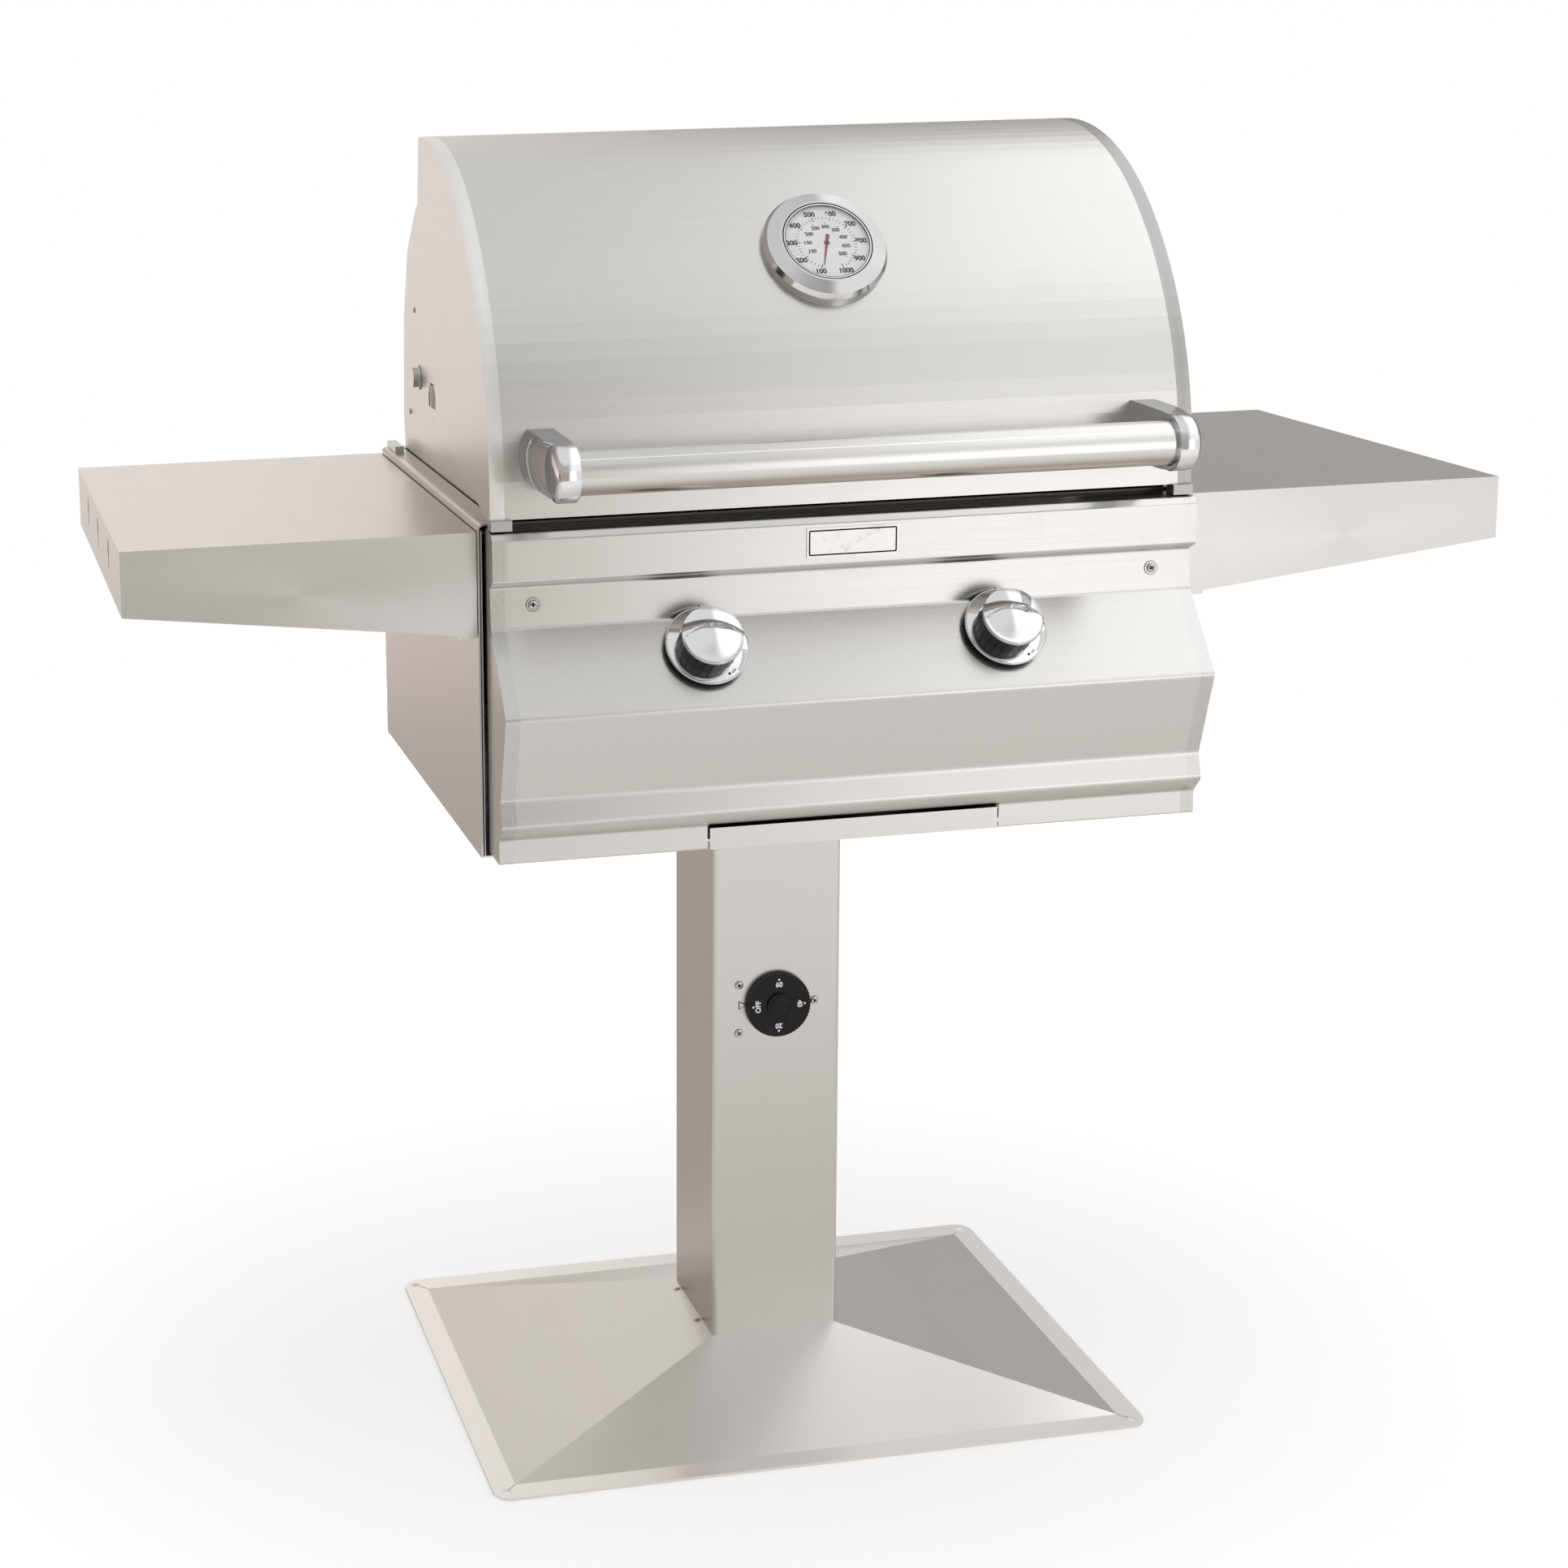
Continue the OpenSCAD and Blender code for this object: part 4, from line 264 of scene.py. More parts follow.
GRAIN_ALONG_X = (0.006, 1.0, 1.0)
GRAIN_ALONG_Y = (1.0, 0.006, 1.0)
GRAIN_ALONG_Z = (1.0, 1.0, 0.006)
SOOT = (0.16, 0.13, 0.105, 1)
SOOT_SHARE = 0.88
SOOT_ROUGHNESS = 0.25
GRAIN_DEPTH = 0.004 * MM
GRAIN_STRENGTH = 0.25


def smoked_inside(tree, place, middle):
    """1 on faces that look inward to a middle point, such as a hood's inner side."""
    facing = facing_way(tree)
    outward = reckon_vector(tree, "SUBTRACT", place, middle)["Vector"]
    along = reckon_vector(tree, "DOT_PRODUCT", outward, facing)["Value"]
    return spread(tree, along, -0.02, 0.0, 1.0, 0.0)


def brushed_steel(
    name,
    stretch,
    dark=(0.682, 0.671, 0.654, 1),
    light=(0.714, 0.703, 0.687, 1),
    rough=0.27,
    rough_span=0.06,
    anisotropy=0.45,
    stains_and_shades=(),
    inside_of=None,
    painted_foot_light=None,
    painted_band_light=None,
):
    """Sheet steel finished with a fine belt.

    stains_and_shades are (spot, reach, colour), for stains and for painted shade. inside_of is the
    middle point that sooty faces look to.
    painted_foot_light is painted light: a paler colour for the front slope and flat rim of a foot
    plate.
    painted_band_light is painted light and shade: a colour for the faces of a hood's end sheet that
    don't look sideways.
    """
    finish, tree, shader = new_finish(name)
    place = object_place(tree)
    grain = use_group(tree, BRUSH_GRAIN, Place=place, Stretch=stretch, Fineness=1.0)
    marks = use_group(tree, HANDLING, Place=place, Size=1.0)
    clouded = reckon(tree, "MULTIPLY_ADD", marks["Clouds"], 0.07, grain["Shade"])
    share = spread(tree, clouded, 0.3, 0.78, 0.0, 1.0, smooth=False)
    colour = blend_colours(tree, share, dark, light)
    # Each spot blends towards its colour; some are stains, some are painted shade
    for spot, reach, spot_colour in stains_and_shades:
        away = reckon_vector(tree, "DISTANCE", place, spot)["Value"]
        ragged = reckon(tree, "MULTIPLY_ADD", marks["Smears"], reach * 0.4, away)
        share = spread(tree, ragged, reach * 0.3, reach * 1.3, 0.9, 0.0)
        colour = blend_colours(tree, share, colour, spot_colour)
    wiped = reckon(tree, "MULTIPLY_ADD", marks["Smears"], 0.07, grain["Shade"])
    roughness = spread(tree, wiped, 0.3, 0.9, rough - rough_span / 2, rough + rough_span)
    # Painted light: the foot plate's front slope and flat rim are made paler
    if painted_foot_light:
        facing = split(tree, facing_way(tree))
        slope = spread(tree, facing["Y"], -0.3, -0.1, 1.0, 0.0)
        rim = spread(tree, facing["Z"], 0.985, 0.995, 0.0, 1.0)
        colour = blend_colours(tree, reckon(tree, "MAXIMUM", slope, rim), colour, painted_foot_light)
    # Painted light and shade: faces of the end sheet that don't look sideways take one flat colour
    if painted_band_light:
        sideways = reckon(tree, "ABSOLUTE", split(tree, facing_way(tree))["X"])
        colour = blend_colours(tree, spread(tree, sideways, 0.4, 0.7, 1.0, 0.0), colour, painted_band_light)
    if inside_of:
        sooty = smoked_inside(tree, place, inside_of)
        colour = blend_colours(tree, reckon(tree, "MULTIPLY", sooty, SOOT_SHARE), colour, SOOT)
        roughness = reckon(tree, "MULTIPLY_ADD", sooty, SOOT_ROUGHNESS, roughness)
    wire(tree, shader, Base_Color=colour, Metallic=1.0, Roughness=roughness, Anisotropic=anisotropy)
    axis = "XYZ"[min(range(3), key=lambda k: stretch[k])]
    across = add_node(tree, "ShaderNodeTangent", direction_type="RADIAL", axis=axis)
    height = bump(tree, grain["Height"], GRAIN_DEPTH, GRAIN_STRENGTH)
    wire(tree, shader, Tangent=across.outputs["Tangent"], Normal=height)
    return finish


def polished_metal(name, colour, tint, rough, pits=700.0, depth=0.004 * MM, edge=None):
    """Bright metal with a breath of casting texture and finger smears.

    pits is the scale of the texture, depth its height. edge is a painted reflection: the colour a
    face takes as it turns away from the viewer.
    """
    finish, tree, shader = new_finish(name)
    place = object_place(tree)
    marks = use_group(tree, HANDLING, Place=place, Size=0.25)
    grit = use_group(tree, PITS, Place=place, Scale=pits)
    mixed = blend_colours(tree, reckon(tree, "MULTIPLY", marks["Clouds"], 0.6), colour, tint)
    if edge:
        # Painted reflection: faces turning away from the viewer darken towards the edge colour
        turned_away = add_node(tree, "ShaderNodeLayerWeight").outputs["Facing"]
        mixed = blend_colours(tree, spread(tree, turned_away, 0.3, 0.8, 0.0, 0.75), mixed, edge)
    smeared = reckon(tree, "MULTIPLY_ADD", marks["Smears"], 0.7, grit["Shade"])
    roughness = spread(tree, smeared, 0.0, 1.7, rough, rough * 2.2)
    pitted = bump(tree, grit["Height"], depth, 0.4)
    wire(tree, shader, Base_Color=mixed, Metallic=1.0, Roughness=roughness, Normal=pitted)
    return finish


def moulded_plastic(name, colour, worn, rough):
    """Dull moulded plastic with a fine grain and paler rubbed places."""
    finish, tree, shader = new_finish(name)
    place = object_place(tree)
    grit = use_group(tree, PITS, Place=place, Scale=1400.0)
    marks = use_group(tree, HANDLING, Place=place, Size=0.15)
    share = reckon(tree, "MULTIPLY_ADD", marks["Smears"], 0.5, 0.15, clamp=True)
    mixed = blend_colours(tree, share, colour, worn)
    roughness = spread(tree, grit["Shade"], 0.0, 1.0, rough - 0.05, rough + 0.12)
    pitted = bump(tree, grit["Height"], 0.02 * MM, 0.6)
    wire(tree, shader, Base_Color=mixed, Roughness=roughness, Normal=pitted)
    wire(tree, shader, Specular_IOR_Level=0.22)
    return finish


def printed_ink(name, colour, rough=0.55):
    finish, tree, shader = new_finish(name)
    place = object_place(tree)
    grit = use_group(tree, PITS, Place=place, Scale=2500.0)
    faded = tuple(min(1.0, part * 0.9 + 0.03) for part in colour[:3]) + (1,)
    mixed = blend_colours(tree, reckon(tree, "MULTIPLY", grit["Shade"], 0.5), colour, faded)
    roughness = spread(tree, grit["Shade"], 0.0, 1.0, rough, rough + 0.15)
    wire(tree, shader, Base_Color=mixed, Roughness=roughness, Specular_IOR_Level=0.2)
    return finish


def glazed_ceramic(name):
    finish, tree, shader = new_finish(name)
    place = object_place(tree)
    marks = use_group(tree, HANDLING, Place=place, Size=0.1)
    clean, sooty = (0.84, 0.82, 0.78, 1), (0.55, 0.48, 0.40, 1)
    share = reckon(tree, "MULTIPLY", marks["Clouds"], 0.5)
    mixed = blend_colours(tree, share, clean, sooty)
    roughness = spread(tree, marks["Smears"], 0.0, 1.0, 0.22, 0.4)
    wire(tree, shader, Base_Color=mixed, Roughness=roughness)
    return finish


def gauge_glass(name):
    """Clear window of the thermometer, with a little dust."""
    finish, tree, shader = new_finish(name)
    place = object_place(tree)
    marks = use_group(tree, HANDLING, Place=place, Size=0.12)
    roughness = spread(tree, marks["Smears"], 0.0, 1.0, 0.0, 0.05)
    wire(tree, shader, Base_Color=(1, 1, 1, 1), Metallic=0.0, Roughness=roughness)
    wire(tree, shader, Transmission_Weight=1.0, IOR=1.45)
    return finish


# Painted highlight line on the handle tube: its height on the tube, its soft edge and its colour
HIGHLIGHT_LINE_CLIMB = 0.66
HIGHLIGHT_LINE_HALF = (0.2 * MM, 0.6 * MM)
PAINTED_HIGHLIGHT_COLOUR = (0.96, 0.95, 0.94, 1)
# Painted shade on the handle tube's underside
PAINTED_UNDERSIDE_SHADE = (0.40, 0.345, 0.30, 1)


def handle_steel(name):
    """Brushed tube with a painted highlight line along its upper front, and painted brown shade on
    its underside.
    """
    finish = brushed_steel(name, GRAIN_ALONG_X, rough=0.2, rough_span=0.06)
    tree = finish.node_tree
    shader = next(n for n in tree.nodes if n.type == "BSDF_PRINCIPLED")
    parts = split(tree, object_place(tree))
    low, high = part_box("handle_tube")
    centre = (low + high) / 2
    radius = (high.z - low.z) / 2
    # Painted highlight: a thin pale line along the tube's upper front
    away = reckon(tree, "SUBTRACT", parts["Z"], centre.z + radius * HIGHLIGHT_LINE_CLIMB)
    near = spread(tree, reckon(tree, "ABSOLUTE", away), *HIGHLIGHT_LINE_HALF, 1.0, 0.0)
    front = spread(tree, parts["Y"], centre.y - 2 * MM, centre.y, 1.0, 0.0)
    line = reckon(tree, "MULTIPLY", near, front)
    # Painted shade: the lower side of the tube darkens to brown
    below = spread(tree, parts["Z"], centre.z - radius * 0.72, centre.z - radius * 0.38, 0.8, 0.0)
    colour = shader.inputs["Base Color"].links[0].from_socket
    colour = blend_colours(tree, line, colour, PAINTED_HIGHLIGHT_COLOUR)
    wire(tree, shader, Base_Color=blend_colours(tree, below, colour, PAINTED_UNDERSIDE_SHADE))
    return finish


HOOD_MIDDLE = (0, HOOD_CENTRE_Y, HOOD_CENTRE_Z + 0.03)
SHEET_X = brushed_steel("brushed_sheet_across", GRAIN_ALONG_X)
SHEET_Y = brushed_steel("brushed_sheet_front_to_back", GRAIN_ALONG_Y, rough=0.31)
SHEET_Z = brushed_steel("brushed_sheet_upright", GRAIN_ALONG_Z, rough=0.3)
HOOD_SHEET = brushed_steel("hood_sheet", GRAIN_ALONG_X, inside_of=HOOD_MIDDLE)
# The end sheets' front bands carry painted light: pale on the left end, dark on the right
LEFT_HOOD_END, RIGHT_HOOD_END = (
    brushed_steel(
        f"{side}_hood_end_sheet",
        GRAIN_ALONG_Y,
        rough=0.31,
        inside_of=HOOD_MIDDLE,
        painted_band_light=band,
    )
    for side, band in (("left", (0.83, 0.82, 0.81, 1)), ("right", (0.45, 0.44, 0.43, 1)))
)
# The foot plate carries painted light on its front slope and flat rim
FOOT_STEEL = brushed_steel(
    "foot_plate_steel",
    GRAIN_ALONG_X,
    rough=0.34,
    anisotropy=0.2,
    painted_foot_light=(0.93, 0.915, 0.90, 1),
    stains_and_shades=(
        ((0.002, -0.074, 0.06), 0.007, (0.16, 0.09, 0.05, 1)),
        ((-0.074, 0.046, 0.058), 0.005, (0.10, 0.08, 0.07, 1)),
        ((-0.074, -0.030, 0.058), 0.005, (0.12, 0.09, 0.07, 1)),
    ),
)
POLISHED = brushed_steel(
    "cross_brushed_band",
    GRAIN_ALONG_Z,
    dark=(0.56, 0.55, 0.535, 1),
    light=(0.72, 0.71, 0.70, 1),
    rough=0.2,
    rough_span=0.06,
    anisotropy=0.2,
)
HANDLE_STEEL = handle_steel("handle_tube_steel")
# Painted light: the body's floor sheet is far paler than the other steel, so the foot plate mirrors
# it bright
UNDER_SHEET_PAINTED_LIGHT = brushed_steel(
    "under_sheet_steel",
    GRAIN_ALONG_X,
    dark=(0.90, 0.885, 0.87, 1),
    light=(0.96, 0.95, 0.94, 1),
    rough=0.42,
    anisotropy=0.1,
)
PLATE = polished_metal(
    "nameplate_satin", (0.95, 0.95, 0.95, 1), (0.93, 0.93, 0.93, 1), 0.3, 1600.0, 0.0005 * MM
)
# edge gives both chrome finishes a painted dark reflection where their faces turn away
CHROME = polished_metal(
    "bright_chrome", (0.84, 0.85, 0.87, 1), (0.78, 0.79, 0.81, 1), 0.045,
    edge=(0.12, 0.125, 0.13, 1),
)
GAUGE_CHROME = polished_metal(
    "gauge_ring_chrome", (0.70, 0.70, 0.71, 1), (0.64, 0.64, 0.65, 1), 0.06,
    edge=(0.10, 0.10, 0.105, 1),
)
BRIGHT_STEEL = polished_metal(
    "bright_fastener_steel", (0.70, 0.69, 0.67, 1), (0.6, 0.59, 0.57, 1), 0.16
)
BRASS = polished_metal(
    "machined_brass", (0.78, 0.58, 0.27, 1), (0.62, 0.44, 0.2, 1), 0.2, 400.0, 0.01 * MM
)
PIPE = polished_metal(
    "galvanised_pipe_zinc", (0.60, 0.61, 0.62, 1), (0.44, 0.45, 0.46, 1), 0.36, 90.0, 0.05 * MM
)
CAST_BURNER = polished_metal(
    "burner_steel_cast", (0.48, 0.46, 0.44, 1), (0.38, 0.35, 0.32, 1), 0.34, 350.0, 0.04 * MM
)
GRID_ROD = polished_metal(
    "grid_rod_steel", (0.62, 0.61, 0.6, 1), (0.5, 0.48, 0.46, 1), 0.22, 300.0, 0.01 * MM
)
INNER_SHEET = brushed_steel(
    "inner_sheet_steel",
    GRAIN_ALONG_X,
    dark=(0.46, 0.45, 0.44, 1),
    light=(0.6, 0.59, 0.58, 1),
    rough=0.38,
    anisotropy=0.1,
)
SOOTY_SHEET = brushed_steel(
    "sooty_liner_sheet",
    GRAIN_ALONG_X,
    dark=(0.10, 0.088, 0.076, 1),
    light=(0.16, 0.14, 0.12, 1),
    rough=0.42,
    anisotropy=0.1,
)
WING_SHEET = brushed_steel(
    "wing_sheet",
    GRAIN_ALONG_Y,
    rough=0.31,
    inside_of=HOOD_MIDDLE,
    # A near-black painted shadow on each wing, where it shows through the hole near the hood's
    # hinge
    stains_and_shades=tuple(
        ((side * 0.331, 0.062, 1.070), 0.024, (0.004, 0.004, 0.004, 1)) for side in (-1, 1)
    ),
)
BLACK = moulded_plastic(
    "black_moulding", (0.008, 0.008, 0.009, 1), (0.022, 0.021, 0.021, 1), 0.34
)
DIAL_WHITE = printed_ink("dial_enamel_white", (0.86, 0.865, 0.87, 1), 0.4)
GAUGE_FACE = printed_ink("gauge_face_white", (0.985, 0.985, 0.985, 1), 0.5)
INK_BLACK = printed_ink("dial_ink_black", (0.004, 0.004, 0.005, 1), 0.7)
INK_WHITE = printed_ink("dial_ink_white", (0.82, 0.82, 0.81, 1))
NEEDLE_RED = printed_ink("needle_paint_red", (0.22, 0.018, 0.02, 1), 0.35)
CERAMIC = glazed_ceramic("igniter_ceramic")
GLASS = gauge_glass("gauge_window_glass")

FINISH_OF_SLOT = {
    "brushed_steel_sheet": SHEET_X,
    "polished_steel": POLISHED,
    "inner_sheet": INNER_SHEET,
    "grid_steel": GRID_ROD,
    "burner_steel": CAST_BURNER,
    "galvanised_pipe": PIPE,
    "bright_fasteners": BRIGHT_STEEL,
    "chrome_castings": CHROME,
    "brass_fittings": BRASS,
    "black_plastic": BLACK,
    "white_dial": DIAL_WHITE,
    "white_ceramic": CERAMIC,
    "clear_glass": GLASS,
    "red_needle": NEEDLE_RED,
}
FINISH_OF_NODE = {
    "hood_shell": HOOD_SHEET,
    "left_hood_side": LEFT_HOOD_END,
    "right_hood_side": RIGHT_HOOD_END,
    "rear_enclosure": HOOD_SHEET,
    "nameplate": PLATE,
    "firebox_liner": SOOTY_SHEET,
    "thermometer_case": GAUGE_CHROME,
    "post_tube": SHEET_Z,
    "base_plate": FOOT_STEEL,
    "body_floor": UNDER_SHEET_PAINTED_LIGHT,
    "thermometer_dial": GAUGE_FACE,
    "handle_tube": HANDLE_STEEL,
}
for side in ("left", "right"):
    FINISH_OF_NODE[f"{side}_wing"] = WING_SHEET
    FINISH_OF_NODE[f"{side}_body_side"] = FINISH_OF_NODE[f"{side}_shelf"] = SHEET_Y

for node_name, node in grill.items():
    for holder in node.material_slots:
        slot_name = holder.material.name.split(".")[0]
        holder.material = FINISH_OF_NODE.get(node_name, FINISH_OF_SLOT[slot_name])


# Shaping

# Printed marks: how thick, and how far above their face
INK = 0.12 * MM
INK_LIFT = 0.02 * MM


def turned(outline, steps=96, closed=False):
    """A turned form about its own Z; outline is a list of (radius, height)."""
    shape = bmesh.new()
    points = [shape.verts.new((radius, 0, height)) for radius, height in outline]
    for first, second in zip(points, points[1:]):
        shape.edges.new((first, second))
    if closed:
        shape.edges.new((points[-1], points[0]))
    bmesh.ops.spin(
        shape,
        geom=list(shape.verts) + list(shape.edges),
        cent=(0, 0, 0),
        axis=(0, 0, 1),
        angle=FULL_TURN,
        steps=steps,
        use_merge=True,
    )
    bmesh.ops.remove_doubles(shape, verts=shape.verts, dist=1e-6)
    bmesh.ops.dissolve_degenerate(shape, edges=shape.edges, dist=1e-7)
    return shape


def block(width, height, depth):
    """A block centred across and up, standing from 0 to depth along Z."""
    shape = bmesh.new()
    bmesh.ops.create_cube(shape, size=1.0)
    bmesh.ops.scale(shape, vec=(width, height, depth), verts=shape.verts)
    return slide(shape, (0, 0, depth / 2))


def move(shape, matrix):
    bmesh.ops.transform(shape, matrix=matrix, verts=shape.verts)
    return shape


def slide(shape, step):
    bmesh.ops.translate(shape, vec=step, verts=shape.verts)
    return shape


def in_mm(outline, lift=0.0):
    """An outline of (radius, height) in millimetres, as metres above a height."""
    return [(radius * MM, lift + height * MM) for radius, height in outline]


def side_name(side):
    return "left" if side < 0 else "right"


def gather(shapes):
    """Joins several shapes into one."""
    whole = bmesh.new()
    for shape in shapes:
        carrier = bpy.data.meshes.new("carrier")
        shape.to_mesh(carrier)
        shape.free()
        whole.from_mesh(carrier)
        bpy.data.meshes.remove(carrier)
    return whole


def new_piece(name, shape, finish, body, crease=35.0):
    bmesh.ops.recalc_face_normals(shape, faces=shape.faces)
    for face in shape.faces:
        face.smooth = True
    for edge in shape.edges:
        if len(edge.link_faces) == 2:
            edge.smooth = edge.calc_face_angle(0.0) < math.radians(crease)
    mesh = bpy.data.meshes.new(name)
    shape.to_mesh(mesh)
    shape.free()
    mesh.materials.append(finish)
    piece = bpy.data.objects.new(name, mesh)
    bpy.context.scene.collection.objects.link(piece)
    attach(piece, body)
    return piece


def written(text, height, turn=0.0, weight=0.02):
    """A plain number in the default font, centred on its own place."""
    curve = bpy.data.curves.new("number", "FONT")
    curve.body = text
    curve.size = height * 1.35
    curve.align_x = "CENTER"
    curve.align_y = "CENTER"
    curve.extrude = INK / 2
    curve.offset = height * weight
    holder = bpy.data.objects.new("number", curve)
    mesh = bpy.data.meshes.new_from_object(holder)
    shape = bmesh.new()
    shape.from_mesh(mesh)
    bpy.data.objects.remove(holder)
    bpy.data.curves.remove(curve)
    bpy.data.meshes.remove(mesh)
    bmesh.ops.remove_doubles(shape, verts=shape.verts, dist=1e-7)
    slide(shape, (0, 0, INK / 2))
    return move(shape, Matrix.Rotation(turn, 4, "Z"))


def clock_place(radius, degrees):
    """A place on a dial: degrees run clockwise from the top."""
    angle = math.radians(degrees)
    return Vector((radius * math.sin(angle), radius * math.cos(angle), 0))


def dot(radius, steps):
    """A flat inked disc."""
    return turned([(0, 0), (radius, 0), (radius, INK), (0, INK)], steps)


def dial_tick(inner, outer, width, degrees):
    shape = slide(block(width, outer - inner, INK), (0, (inner + outer) / 2, 0))
    return move(shape, Matrix.Rotation(-math.radians(degrees), 4, "Z"))


# Knobs

GRIP_RADIUS = 27.5 * MM
GRIP_LOW = 9.1 * MM
GRIP_HIGH = 27.0 * MM
GRIP_CELLS = 88
GRIP_ROWS = 8
DIMPLE_RIM = 0.45 * MM
DIMPLE_DEPTH = 0.6 * MM
CAP_RADIUS = 29.5 * MM
CAP_LOW = 27.0 * MM
CAP_EDGE = 31.5 * MM
CAP_TOP = 37.5 * MM
CAP_RINGS = 44
CAP_STEPS = 180
ARCH_RADIUS = 41.0 * MM
ARCH_CENTRE = -31.5 * MM
ARCH_DROP = 3.4 * MM
ARCH_CATCH = 0.5 * MM
ARCH_EDGE = 0.12 * MM
SKIRT_RADIUS = 40.0 * MM
SKIRT_RIM_Z = 8.6 * MM
SKIRT_FOOT_RADIUS = 28.5 * MM
SKIRT_FOOT_Z = 9.1 * MM
STEM_ROOM = 4.6 * MM
POCKET_DEPTH = 2.4 * MM
MARK_COUNT = 15
MARK_START = 102
MARK_STEP = 2.5
MARK_OUTER = 38.0 * MM


def is_dimple(column, row):
    """Every fourth cell of every other row."""
    return 0 < row < GRIP_ROWS - 1 and row % 2 == 1 and column % 4 == 0


def knob_piece(side, label, shape, finish, crease=35.0):
    """A piece that rides on one knob."""
    name = side_name(side)
    seated = move(shape, knob_seat(side))
    return new_piece(f"{name}_{label}", seated, finish, f"{name}_knob", crease)


def knob_grip(side):
    """The black grip, pressed with rows of small dimples."""
    rows = [GRIP_LOW + (GRIP_HIGH - GRIP_LOW) * k / GRIP_ROWS for k in range(GRIP_ROWS + 1)]
    outline = [(STEM_ROOM, GRIP_LOW)] + [(GRIP_RADIUS, z) for z in rows] + [(STEM_ROOM, GRIP_HIGH)]
    shape = turned(outline, GRIP_CELLS, closed=True)
    cell = FULL_TURN / GRIP_CELLS
    row_height = (GRIP_HIGH - GRIP_LOW) / GRIP_ROWS
    pressed = []
    for face in shape.faces:
        middle = face.calc_center_median()
        if abs(face.normal.z) > 0.5 or math.hypot(middle.x, middle.y) < GRIP_RADIUS / 2:
            continue
        column = int((math.atan2(middle.y, middle.x) % FULL_TURN) / cell)
        row = int((middle.z - GRIP_LOW) / row_height)
        if is_dimple(column, row):
            pressed.append(face)
    bmesh.ops.inset_individual(shape, faces=pressed, thickness=DIMPLE_RIM)
    for face in pressed:
        inward = face.calc_center_median()
        inward.z = 0
        inward.normalize()
        bmesh.ops.translate(shape, vec=-inward * DIMPLE_DEPTH, verts=list(face.verts))
    name = side_name(side)
    piece = knob_piece(side, "dimpled_grip", shape, BLACK)
    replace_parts(piece, f"{name}_knob_grip")


def knob_cap(side):
    """The domed cap: below its arch the dome drops to a second, lower dome."""
    rise = CAP_TOP - CAP_EDGE
    pocket_top = CAP_LOW + POCKET_DEPTH
    outline = [(0, pocket_top), (STEM_ROOM, pocket_top), (STEM_ROOM, CAP_LOW)]
    outline += [(CAP_RADIUS - 1.2 * MM, CAP_LOW), (CAP_RADIUS, CAP_LOW + 0.9 * MM)]
    outline += [(CAP_RADIUS, CAP_EDGE - 0.9 * MM), (CAP_RADIUS - 0.3 * MM, CAP_EDGE - 0.25 * MM)]
    for k in range(CAP_RINGS):
        share = 1 - k / CAP_RINGS
        radius = (CAP_RADIUS - 0.9 * MM) * share
        outline.append((radius, CAP_EDGE + rise * (1 - share ** 2)))
    outline.append((0, CAP_TOP))
    shape = turned(outline, CAP_STEPS)
    for point in shape.verts:
        radius = math.hypot(point.co.x, point.co.y)
        if point.co.z < CAP_EDGE - 0.1 * MM or radius > CAP_RADIUS - 1.0 * MM:
            continue
        from_arch = Vector((point.co.x, point.co.y - ARCH_CENTRE))
        away = from_arch.length - ARCH_RADIUS
        if abs(away) < ARCH_CATCH:
            held = ARCH_RADIUS + math.copysign(ARCH_EDGE, away)
            pulled = from_arch.normalized() * held
            point.co.x, point.co.y = pulled.x, pulled.y + ARCH_CENTRE
            away = held - ARCH_RADIUS
        if away < 0:
            share = min(1.0, radius / CAP_RADIUS)
            point.co.z -= ARCH_DROP * (1 - share ** 5)
    name = side_name(side)
    piece = knob_piece(side, "arched_cap", shape, CHROME, 28.0)
    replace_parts(piece, f"{name}_knob_cap")


def knob_marks(side):
    """Engraved ticks that shrink along the lower right of the skirt, OFF and its dot."""
    fall = (SKIRT_FOOT_Z - SKIRT_RIM_Z) / (SKIRT_RADIUS - SKIRT_FOOT_RADIUS)
    tilt = math.atan(fall)
    marks = []

    def place_mark(mark, radius, degrees):
        move(mark, Matrix.Rotation(-tilt, 4, "X"))
        height = SKIRT_RIM_Z + fall * (SKIRT_RADIUS - radius) + INK_LIFT
        slide(mark, (0, radius, height))
        marks.append(move(mark, Matrix.Rotation(-math.radians(degrees), 4, "Z")))

    for k in range(MARK_COUNT):
        length = (5.6 - 0.22 * k) * MM
        tick = block(0.5 * MM, length, INK)
        place_mark(tick, MARK_OUTER - length / 2, MARK_START + MARK_STEP * k)
    place_mark(written("OFF", 2.3 * MM, math.pi), 34.6 * MM, 144)
    place_mark(dot(1.3 * MM, 20), 34.2 * MM, 153)
    knob_piece(side, "skirt_marks", gather(marks), INK_BLACK)


def knob_underside(side):
    """A black ring under the edge of the skirt: painted shade for the dark gap there."""
    outline = [(30.0, 6.0), (37.6, 6.0), (38.3, 6.4), (38.3, 7.15), (30.0, 7.15)]
    shape = turned(in_mm(outline), 96, closed=True)
    knob_piece(side, "skirt_shade_ring", shape, BLACK)


def knob_skirt_bead(side):
    """The rolled bright edge of the skirt."""
    middle, reach = SKIRT_RADIUS - 0.75 * MM, 0.72 * MM
    height, steps = SKIRT_RIM_Z - 0.1 * MM, 16
    outline = []
    for k in range(steps):
        angle = FULL_TURN * k / steps
        outline.append((middle + reach * math.cos(angle), height + reach * math.sin(angle)))
    shape = turned(outline, 128, closed=True)
    knob_piece(side, "skirt_bead", shape, CHROME, 60.0)


